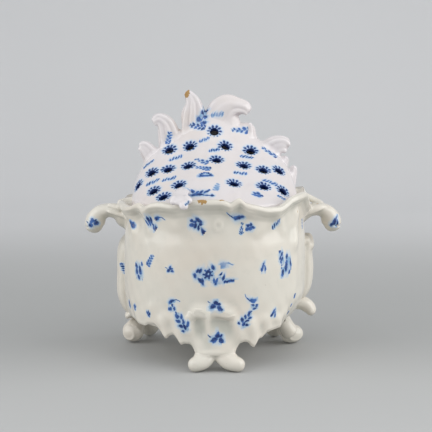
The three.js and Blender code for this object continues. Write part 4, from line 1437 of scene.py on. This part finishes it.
def painting_build(tree, given):
    """Reads a corner's place in its motif; puts out blue, its depth, its halo, and bare clay."""
    where = put(tree, "TexCoord").outputs["Object"]
    sprig = parts(tree, given["Sprig"])
    kind, tone = calc(tree, "FLOOR", sprig[2]), calc(tree, "FRACT", sprig[2])
    place = joined(tree, sprig[0], sprig[1])
    place = unsteady(tree, place, where, sprig[2], given["Wobble"])
    best, under = drawn(tree, place, kind)
    streak, patch = noise(tree, where, 700.0, 2.0), noise(tree, where, 240.0, 0.0)
    depth = calc(tree, "MULTIPLY_ADD", streak, 1.5, -1.5)
    depth = calc(tree, "ADD", depth, calc(tree, "MULTIPLY", patch, 2.0))
    depth = calc(tree, "ADD", depth, calc(tree, "MULTIPLY_ADD", best, -0.75, tone))
    hole = calc(tree, "MULTIPLY", is_kind(tree, kind, "daisy"), within(tree, best, *HOLE_EDGE))
    depth = calc(tree, "ADD", depth, hole, clamp=True)
    under = calc(tree, "MULTIPLY_ADD", calc(tree, "SUBTRACT", streak, 0.5), 1.1, under)
    wash = calc(
        tree, "MAXIMUM", within(tree, under, *WASH_EDGE), within(tree, best, *NEAR_WASH_EDGE)
    )
    wash = calc(tree, "MULTIPLY", wash, calc(tree, "MULTIPLY_ADD", patch, 1.5, -0.08), clamp=True)
    faint = calc(tree, "MULTIPLY_ADD", calc(tree, "GREATER_THAN", tone, FAINT_TONE), 0.55, 0.45)
    chip = only_on(tree, kind, "chip", chip_motif(tree, place))
    return {
        "Blue": calc(tree, "MULTIPLY", within(tree, best, *STROKE_EDGE), faint), "Depth": depth,
        "Wash": wash, "Halo": within(tree, best, *HALO_EDGE), "Bare": within(tree, chip, *BARE_EDGE),
    }


SPECK = (0.28, 0.2, 0.13, 1)


def specks(tree, where):
    """Rare dark specks of iron in the glaze."""
    cells = put(tree, "TexVoronoi", {"Vector": where, "Scale": 160.0}).outputs["Distance"]
    speck = put(
        tree, "MapRange",
        {"Value": cells, "From Min": 0.03, "From Max": 0.065, "To Min": 1.0, "To Max": 0.0},
    ).outputs[0]
    rare = calc(tree, "GREATER_THAN", noise(tree, where, 60.0, 2.0), 0.62)
    return calc(tree, "MULTIPLY", speck, rare)


def glaze_build(tree, given):
    """Tin glaze: cloudy, warmer where thin, greyer where it gathers, with painted shade in hollows and under
    overhangs and painted light on rounded clay, and with fine pits.
    """
    where = put(tree, "TexCoord").outputs["Object"]
    cloud, mottle = noise(tree, where, 22.0, 3.0), noise(tree, where, 130.0, 3.0)
    pits, swell = noise(tree, where, 900.0, 2.0), noise(tree, where, 75.0, 1.0)
    speck = specks(tree, where)
    thin = calc(tree, "MULTIPLY", calc(tree, "SUBTRACT", cloud, 0.42, clamp=True), given["Mottle"])
    # Painted light: rounded clay, below nought, takes the lighter glaze colour.
    painted_highlight = calc(tree, "MULTIPLY", given["Sunk"], -0.9, clamp=True)
    # Gathered glaze in hollows, with painted shade there and under overhangs.
    gathering_and_painted_shade = calc(tree, "MULTIPLY", calc(tree, "MAXIMUM", given["Sunk"], 0.0), 0.8)
    clouded = calc(tree, "MULTIPLY", calc(tree, "SUBTRACT", mottle, 0.55, clamp=True), 0.8)
    colour = mix(tree, thin, given["Glaze"], given["Warm"])
    colour = mix(tree, painted_highlight, colour, given["Proud"])
    colour = mix(tree, calc(tree, "ADD", gathering_and_painted_shade, clouded), colour, given["Pool"])
    colour = mix(tree, calc(tree, "MULTIPLY", speck, 0.55), colour, SPECK)
    height = calc(tree, "MULTIPLY_ADD", pits, 0.08, calc(tree, "MULTIPLY", swell, 0.9))
    height = calc(tree, "MULTIPLY_ADD", speck, -0.25, height)
    rough = calc(tree, "MULTIPLY_ADD", mottle, 0.16, given["Gloss"])
    return {"Colour": colour, "Roughness": rough, "Height": height}


def rgba(colour):
    return (*colour[:3], 1.0)


def glaze_material(name, glaze, gathered_glaze_and_painted_shade, look):
    """A glossy tin glaze with its painting in cobalt, and bare clay where it is chipped."""
    material = bpy.data.materials.new(name)
    material.use_nodes = True
    tree = material.node_tree
    tree.nodes.clear()
    painting = group(
        "cobalt painting", [("Sprig", "Vector", None), ("Wobble", "Float", 1.6)],
        [("Blue", "Float"), ("Depth", "Float"), ("Wash", "Float"), ("Halo", "Float"), ("Bare", "Float")],
        painting_build,
    )
    skin = group(
        "tin glaze",
        [("Glaze", "Color", None), ("Warm", "Color", None), ("Pool", "Color", None),
         ("Proud", "Color", None), ("Sunk", "Float", 0.0), ("Mottle", "Float", 1.0),
         ("Gloss", "Float", 0.1)],
        [("Colour", "Color"), ("Roughness", "Float"), ("Height", "Float")], glaze_build,
    )
    sprig = put(tree, "Attribute", attribute_name="sprig").outputs["Vector"]
    sunk = put(tree, "Attribute", attribute_name="sunk").outputs["Fac"]
    painted = use(tree, painting, {"Sprig": sprig, "Wobble": look.wobble})
    # The glaze is darkened as painted shade in hollows and under overhangs, and lightened as painted light on
    # rounded clay.
    plain = use(
        tree, skin,
        {"Glaze": rgba(glaze), "Warm": rgba(look.warm), "Pool": rgba(gathered_glaze_and_painted_shade), "Sunk": sunk,
         "Proud": rgba([min(c * look.painted_highlight, 1) for c in glaze]),
         "Mottle": look.mottle, "Gloss": look.gloss},
    )
    cobalt = mix(tree, painted["Depth"], rgba(look.cobalt_thin), rgba(look.cobalt_deep))
    colour = mix(tree, calc(tree, "MULTIPLY", painted["Halo"], 0.55), plain["Colour"], rgba(look.halo))
    colour = mix(tree, calc(tree, "MULTIPLY", painted["Wash"], 0.85), colour, rgba(look.wash))
    colour = mix(tree, calc(tree, "MULTIPLY", painted["Blue"], 0.96), colour, cobalt)
    colour = mix(tree, painted["Bare"], colour, rgba(look.clay))
    rough = calc(tree, "MULTIPLY_ADD", painted["Bare"], 0.6, plain["Roughness"])
    height = calc(tree, "MULTIPLY_ADD", painted["Bare"], -2.0, plain["Height"])
    bump = put(tree, "Bump", {"Height": height, "Strength": 0.35, "Distance": 0.0006})
    shader = put(
        tree, "BsdfPrincipled",
        {"Base Color": colour, "Roughness": rough, "Normal": bump.outputs[0], "IOR": 1.5},
    )
    out = put(tree, "OutputMaterial", {"Surface": shader.outputs[0]})
    out.is_active_output = True
    return material


# What a user sets.


class VaseClay(bpy.types.PropertyGroup):
    grain: bpy.props.FloatProperty(
        name="Clay grain", description="Fineness of the modelled pieces, in millimetres",
        default=0.85, min=0.5, max=3,
    )
    fillet: bpy.props.FloatProperty(
        name="Slip fillet", description="Roundness where a piece is luted on, in millimetres",
        default=3.2, min=0.5, max=8,
    )
    steps: bpy.props.IntProperty(
        name="Turning steps", description="Faces round the vessel and round its cover", default=360,
        min=64, max=720,
    )


def colour_setting(name, description, default):
    return bpy.props.FloatVectorProperty(
        name=name, description=description, default=default, subtype="COLOR", min=0, max=1,
    )


def lamp_setting(name, description, default):
    return bpy.props.FloatProperty(
        name=name, description=description, default=default, min=0, unit="POWER",
    )


class VaseGlaze(bpy.types.PropertyGroup):
    vessel: colour_setting("Vessel glaze", "Colour of the glaze on the vessel", (0.72, 0.68, 0.60))
    cover: colour_setting("Cover glaze", "Colour of the glaze on the cover", (0.73, 0.685, 0.685))
    warm: colour_setting("Thin glaze", "Colour where the glaze lies thin", (0.72, 0.62, 0.52))
    # Colours of gathered and clouded glaze, which also paint the shade in hollows and under overhangs.
    vessel_gathering_painted_shade: colour_setting(
        "Gathered glaze", "Colour where the vessel's glaze gathers", (0.50, 0.50, 0.44)
    )
    cover_gathering_painted_shade: colour_setting(
        "Gathered cover glaze", "Colour where the cover's glaze gathers", (0.56, 0.50, 0.53)
    )
    cobalt_thin: colour_setting("Thin cobalt", "Colour of a light brush stroke", (0.035, 0.135, 0.42))
    cobalt_deep: colour_setting(
        "Deep cobalt", "Colour where the brush was full", (0.002, 0.016, 0.12)
    )
    wash: colour_setting("Cobalt wash", "Colour of the wash between the strokes", (0.18, 0.36, 0.585))
    halo: colour_setting(
        "Bled cobalt", "Colour round a motif, where the cobalt bled", (0.50, 0.62, 0.76)
    )
    clay: colour_setting(
        "Bare clay", "Colour of the fired clay where the glaze is chipped", (0.42, 0.25, 0.09)
    )
    # Painted light: how much lighter the glaze colour is made on rounded clay.
    painted_highlight: bpy.props.FloatProperty(
        name="Proud glaze", description="How much lighter the glaze is on rounded clay", default=1.2,
        min=1, max=1.4,
    )
    gloss: bpy.props.FloatProperty(
        name="Lowest roughness", description="Roughness of the glossiest glaze", default=0.1,
        min=0, max=1, subtype="FACTOR",
    )
    mottle: bpy.props.FloatProperty(
        name="Mottling", description="How cloudy the glaze is", default=1.4, min=0, max=4,
    )
    wobble: bpy.props.FloatProperty(
        name="Unsteady hand", description="How far the brush strays, in millimetres", default=1.5,
        min=0, max=5,
    )


class VaseStudio(bpy.types.PropertyGroup):
    # The floor colour shows in full only in the band of painted shade just behind the vase; painted light
    # pales it towards the eye and the right.
    floor: colour_setting("Floor", "Colour of the floor", (0.44, 0.44, 0.43))
    backdrop: colour_setting("Backdrop", "Colour of the backdrop", (0.79, 0.78, 0.775))
    overhead: lamp_setting("Overhead lamp", "Power of the large lamp above, in watts", 4.45)
    left: lamp_setting("Left lamp", "Power of the lamp on the left, in watts", 13.5)
    right: lamp_setting("Right lamp", "Power of the lamp on the right, in watts", 17.0)
    room: bpy.props.FloatProperty(
        name="Room light", description="Strength of the light from all round", default=0.49,
        min=0, max=1,
    )


# The lamps: where each stands, in metres.
LAMPS = {"overhead": (0.1, -0.7, 1.3), "left": (-1.3, -0.5, 0.6), "right": (1.35, -0.4, 0.65)}
LAMP_SIZE = 1.5
LAMP_AIM = (0, 0, 0.08)
ROOM_COLOUR = (0.9, 0.95, 1, 1)
# The backdrop in metres: where its floor starts and ends, the radius of its bend, its
# height above the bend and half its width.
SWEEP_FRONT, SWEEP_FLAT, SWEEP_BEND, SWEEP_RISE, SWEEP_HALF = -1.6, 1.1, 0.9, 2.2, 4
SENSOR = 36


class PotteryStep:
    """What the operators share."""

    bl_options = {"REGISTER"}

    @property
    def clay(self):
        return bpy.context.scene.vase_clay

    def host(self, name):
        piece = bpy.data.objects.get(name)
        if piece is None:
            raise RuntimeError(f"{name} comes before this piece")
        mesh = piece.data.copy()
        mesh.transform(TO_ROW.inverted())
        tree = surface(mesh)
        bpy.data.meshes.remove(mesh)
        return tree


class VASE_OT_wall(PotteryStep, bpy.types.Operator):
    """Throws the wall with its rolled rim and cusped apron, its floor and its inner ledge"""

    bl_idname = "vase.wall"
    bl_label = "Wall, floor and ledge"

    def execute(self, context):
        wall = turned(len(WALL_SECTION), 7, self.clay.steps, wall_place)
        settle("vessel_wall_turned", as_mesh(wall), "vessel", "vessel_glaze", "vessel_wall", "back_wall")
        rows, place = band_place(WALL + BEDDING, None, FLOOR_LOW, FLOOR_TOP)
        floor = turned(rows, 3, self.clay.steps // 3, place)
        settle("floor_slab", as_mesh(floor), "vessel", "vessel_glaze", "floor_plate")
        rows, place = band_place(WALL + BEDDING, LEDGE_INSET, LEDGE_LOW, LEDGE_TOP)
        ledge = turned(rows, 1, self.clay.steps // 2, place)
        settle("inner_ledge", as_mesh(ledge), "vessel", "vessel_glaze", "cover_ledge")
        return {"FINISHED"}


class VASE_OT_feet(PotteryStep, bpy.types.Operator):
    """Rolls the three cloven scroll feet and lutes them under the wall"""

    bl_idname = "vase.feet"
    bl_label = "Feet"

    def execute(self, context):
        wall = self.host("vessel_wall_turned")
        for name, (*foot, fillet) in FEET.items():
            mesh = wedged(foot_clay(*foot), self.clay.grain * 0.8, 5)
            luted(mesh, wall, self.clay.fillet * fillet)
            settle(name + "_scroll", flat_footed(mesh), "vessel", "vessel_glaze", name)
        return {"FINISHED"}


class VASE_OT_straps(PotteryStep, bpy.types.Operator):
    """Rolls the side straps and the curls at their lower ends"""

    bl_idname = "vase.straps"
    bl_label = "Straps and hooks"

    def execute(self, context):
        wall = self.host("vessel_wall_turned")
        for name, (side, stops) in STRAPS.items():
            bm = bmesh.new()
            tongue(bm, stops, (side, 0, 0), 24, 40, groove((58, 14, 0.1), (122, 14, 0.1)))
            if name == "right_strap":
                for x, y, z, r in KNOB:
                    ball(bm, (x, y, z), r)
            mesh = luted(wedged(bm, self.clay.grain, 5), wall, self.clay.fillet)
            settle(name + "_roll", mesh, "vessel", "vessel_glaze", name)
        for name, (side, stops) in HOOKS.items():
            bm = bmesh.new()
            tongue(bm, [(side * x, HOOK_Y, z, HOOK_HALF, t) for x, z, t in stops], (0, 0, 1))
            mesh = luted(wedged(bm, self.clay.grain, 5), wall, self.clay.fillet)
            settle(name + "_curl", mesh, "vessel", "vessel_glaze", name)
        return {"FINISHED"}


class VASE_OT_handles(PotteryStep, bpy.types.Operator):
    """Models the two channelled scroll handles"""

    bl_idname = "vase.handles"
    bl_label = "Handles"

    def execute(self, context):
        wall = self.host("vessel_wall_turned")
        for name, handle in HANDLES.items():
            mesh = wedged(handle_clay(*handle), self.clay.grain * 0.8, 4)
            luted(mesh, wall, self.clay.fillet)
            settle(name + "_scroll", mesh, "vessel", "vessel_glaze", name)
        return {"FINISHED"}


class VASE_OT_shell(PotteryStep, bpy.types.Operator):
    """Models the two-lobed shell over the front foot"""

    bl_idname = "vase.shell"
    bl_label = "Front shell"

    def execute(self, context):
        wall = self.host("vessel_wall_turned")
        mesh = luted(wedged(shell_clay(), self.clay.grain * 0.6, 6), wall, self.clay.fillet * 0.7)
        settle("front_shell_lip", mesh, "vessel", "vessel_glaze", "front_shell")
        return {"FINISHED"}


class VASE_OT_cover(PotteryStep, bpy.types.Operator):
    """Presses the domed cover, drills its stem holes and rounds their edges"""

    bl_idname = "vase.cover"
    bl_label = "Pierced cover"

    def execute(self, context):
        dome = turned(COVER_ROWS, 2, self.clay.steps // 2, cover_shell)
        drills = bmesh.new()
        for x, z in STEM_HOLES:
            made = bmesh.ops.create_cone(
                drills, cap_ends=True, segments=32, radius1=HOLE_RADIUS, radius2=HOLE_RADIUS,
                depth=DRILL_LONG,
            )
            turn = cover_normal(x, z).to_track_quat("Z", "Y").to_matrix().to_4x4()
            place = Matrix.Translation((x, cover_face(x, z), z)) @ turn
            bmesh.ops.transform(drills, matrix=place, verts=made["verts"])
        tool = bpy.data.objects.new("drills", as_mesh(drills))
        bpy.context.scene.collection.objects.link(tool)
        mesh = with_modifiers(
            as_mesh(dome),
            ("BOOLEAN", {"object": tool, "operation": "DIFFERENCE", "solver": "EXACT"}),
            ("REMESH", {"mode": "VOXEL", "voxel_size": self.clay.grain}),
            ("SMOOTH", {"factor": 0.5, "iterations": 4}),
        )
        bpy.data.objects.remove(tool)
        settle("pierced_cover_dome", mesh, "cover", "cover_glaze", "pierced_cover")
        rows, place = band_place(COLLAR_OUT, COLLAR_IN, COLLAR_LOW, LEDGE_TOP)
        collar = turned(rows, 1, self.clay.steps // 2, place)
        settle("locating_collar", as_mesh(collar), "cover", "cover_glaze", "cover_collar")
        return {"FINISHED"}


class VASE_OT_crest(PotteryStep, bpy.types.Operator):
    """Models the curling leaves of the crest and the scroll on the front edge"""

    bl_idname = "vase.crest"
    bl_label = "Crest leaves and edge scroll"

    def execute(self, context):
        dome = self.host("pierced_cover_dome")
        for name in LEAVES:
            mesh = luted(wedged(leaf_clay(name), self.clay.grain * 0.8, 5), dome, self.clay.fillet)
            settle(name + "_scroll", mesh, "cover", "cover_glaze", name)
        bm = bmesh.new()
        for stops in EDGE_SCROLL:
            tongue(bm, stops, (0, -0.5, 1), 24, 30)
        mesh = luted(wedged(bm, self.clay.grain * 0.7, 4), dome, self.clay.fillet * 0.7)
        settle("edge_scroll_leaf", mesh, "cover", "cover_glaze", "edge_scroll")
        return {"FINISHED"}


class VASE_OT_paint(PotteryStep, bpy.types.Operator):
    """Glazes every piece and paints the sprigs, and a daisy round each stem hole"""

    bl_idname = "vase.paint"
    bl_label = "Glaze and painting"

    def execute(self, context):
        glaze = context.scene.vase_glaze
        bodies = {}
        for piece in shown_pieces():
            bodies.setdefault(body_of(piece)[0], []).append(piece)
        work = {
            "vessel": (VESSEL_SPRIGS, glaze.vessel, glaze.vessel_gathering_painted_shade),
            "cover": (COVER_SPRIGS, glaze.cover, glaze.cover_gathering_painted_shade),
        }
        for body, (table, colour, gathered_glaze_and_painted_shade) in work.items():
            material = glaze_material(body + " glaze", colour, gathered_glaze_and_painted_shade, glaze)
            places = motif_places(bodies[body], table)
            if body == "cover":
                places += self.daisies()
            for piece in bodies[body]:
                paint(piece, places)
                hollows(piece)
                piece.data.materials.clear()
                piece.data.materials.append(material)
        return {"FINISHED"}

    def daisies(self):
        """Places of the daisies round the stem holes, each turned a little otherwise."""
        places = []
        for i, (x, z) in enumerate(STEM_HOLES):
            at = TO_ROW @ Vector((x, cover_face(x, z), z))
            turn = (i * 37) % 24 - 12
            places.append(axes_at("daisy", at, cover_normal(x, z), turn, 1.0, 0.5))
        return places


class VASE_OT_studio(bpy.types.Operator):
    """Sets the pale floor and backdrop, the soft lamps and the camera"""

    bl_idname = "vase.studio"
    bl_label = "Studio"

    def execute(self, context):
        studio = context.scene.vase_studio
        backdrop = bpy.data.objects.new("backdrop", as_mesh(self.sweep()))
        backdrop.data.shade_smooth()
        context.scene.collection.objects.link(backdrop)
        backdrop.data.materials.append(self.paper(studio.floor, studio.backdrop))
        backdrop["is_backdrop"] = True
        for name, at in LAMPS.items():
            self.lamp(name, at, getattr(studio, name))
        world = bpy.data.worlds.new("room")
        world.use_nodes = True
        light = world.node_tree.nodes["Background"].inputs
        light["Color"].default_value = ROOM_COLOUR
        light["Strength"].default_value = studio.room
        context.scene.world = world
        context.scene.view_settings.view_transform = "Standard"
        camera = bpy.data.cameras.new("front view")
        camera.sensor_width = SENSOR
        camera.lens = EYE_FOCUS / PICTURE * SENSOR
        eye = bpy.data.objects.new("front view", camera)
        eye.location = EYE * MM + SHIFT
        eye.rotation_euler = (math.pi / 2 - EYE_PITCH, 0, 0)
        context.scene.collection.objects.link(eye)
        context.scene.camera = eye
        return {"FINISHED"}

    def sweep(self):
        """A sheet that runs along the floor, bends and rises behind the vase."""
        bm = bmesh.new()
        bmesh.ops.create_grid(bm, x_segments=2, y_segments=60, size=1)
        arc = SWEEP_BEND * math.pi / 2
        reach = SWEEP_FLAT - SWEEP_FRONT + arc + SWEEP_RISE
        for v in bm.verts:
            s = (v.co.y + 1) / 2 * reach + SWEEP_FRONT
            a = min(max((s - SWEEP_FLAT) / SWEEP_BEND, 0), math.pi / 2)
            y = min(s, SWEEP_FLAT) + SWEEP_BEND * math.sin(a)
            z = SWEEP_BEND * (1 - math.cos(a)) + max(s - SWEEP_FLAT - arc, 0)
            v.co = (v.co.x * SWEEP_HALF, y, z)
        return bm

    def paper(self, near, colour):
        """Paper that pales towards the backdrop. Painted shade keeps the floor colour in a band just behind
        the vase, and painted light pales it a little towards the eye and the right.
        """
        material = bpy.data.materials.new("backdrop paper")
        material.use_nodes = True
        tree = material.node_tree
        where = put(tree, "TexCoord").outputs["Object"]
        grain = noise(tree, where, 3.0, 2.0)
        place = parts(tree, where)
        far = put(
            tree, "MapRange", {"Value": place[1], "From Min": 0.2, "From Max": 1.1},
            interpolation_type="SMOOTHSTEP",
        ).outputs[0]
        # Painted light: the floor pales towards the eye.
        close = put(
            tree, "MapRange",
            {"Value": place[1], "From Min": -0.35, "From Max": 0.15, "To Min": 0.22, "To Max": 0.0},
            interpolation_type="SMOOTHSTEP",
        ).outputs[0]
        # Paper grain, and painted light that pales the paper towards the right.
        grain_and_painted_light = calc(tree, "MULTIPLY_ADD", grain, 0.08, calc(tree, "MULTIPLY_ADD", place[0], 0.04, -0.04))
        share = calc(tree, "ADD", calc(tree, "ADD", far, close), grain_and_painted_light, clamp=True)
        shader = tree.nodes["Principled BSDF"].inputs
        tree.links.new(mix(tree, share, rgba(near), rgba(colour)), shader["Base Color"])
        shader["Roughness"].default_value = 0.85
        shader["Specular IOR Level"].default_value = 0.2
        return material

    def lamp(self, name, at, power):
        light = bpy.data.lights.new(name, "AREA")
        light.size, light.energy = LAMP_SIZE, power
        lamp = bpy.data.objects.new(name, light)
        lamp.location = at
        lamp.rotation_euler = (Vector(LAMP_AIM) - Vector(at)).to_track_quat("-Z", "Y").to_euler()
        bpy.context.scene.collection.objects.link(lamp)


STEPS = [
    VASE_OT_wall, VASE_OT_feet, VASE_OT_straps, VASE_OT_handles, VASE_OT_shell, VASE_OT_cover,
    VASE_OT_crest, VASE_OT_paint, VASE_OT_studio,
]
SETTINGS = {"vase_clay": VaseClay, "vase_glaze": VaseGlaze, "vase_studio": VaseStudio}


class VASE_PT_panel(bpy.types.Panel):
    """The vase's sizes, colours and steps"""

    bl_label = "Footed flower vase"
    bl_idname = "VASE_PT_panel"
    bl_space_type = "VIEW_3D"
    bl_region_type = "UI"
    bl_category = "Vase"

    def draw(self, context):
        for name in SETTINGS:
            box = self.layout.box()
            settings = getattr(context.scene, name)
            for key in settings.__annotations__:
                box.prop(settings, key)
        for step in STEPS:
            self.layout.operator(step.bl_idname)


def register():
    for kind in [*SETTINGS.values(), *STEPS, VASE_PT_panel]:
        bpy.utils.register_class(kind)
    for name, kind in SETTINGS.items():
        setattr(bpy.types.Scene, name, bpy.props.PointerProperty(type=kind))


def unregister():
    for name in SETTINGS:
        delattr(bpy.types.Scene, name)
    for kind in reversed([*SETTINGS.values(), *STEPS, VASE_PT_panel]):
        bpy.utils.unregister_class(kind)


def main():
    register()
    bpy.ops.vase.wall()
    bpy.ops.vase.feet()
    bpy.ops.vase.straps()
    bpy.ops.vase.handles()
    bpy.ops.vase.shell()
    bpy.ops.vase.cover()
    bpy.ops.vase.crest()
    bpy.ops.vase.paint()
    bpy.ops.vase.studio()


if __name__ == "__main__":
    main()
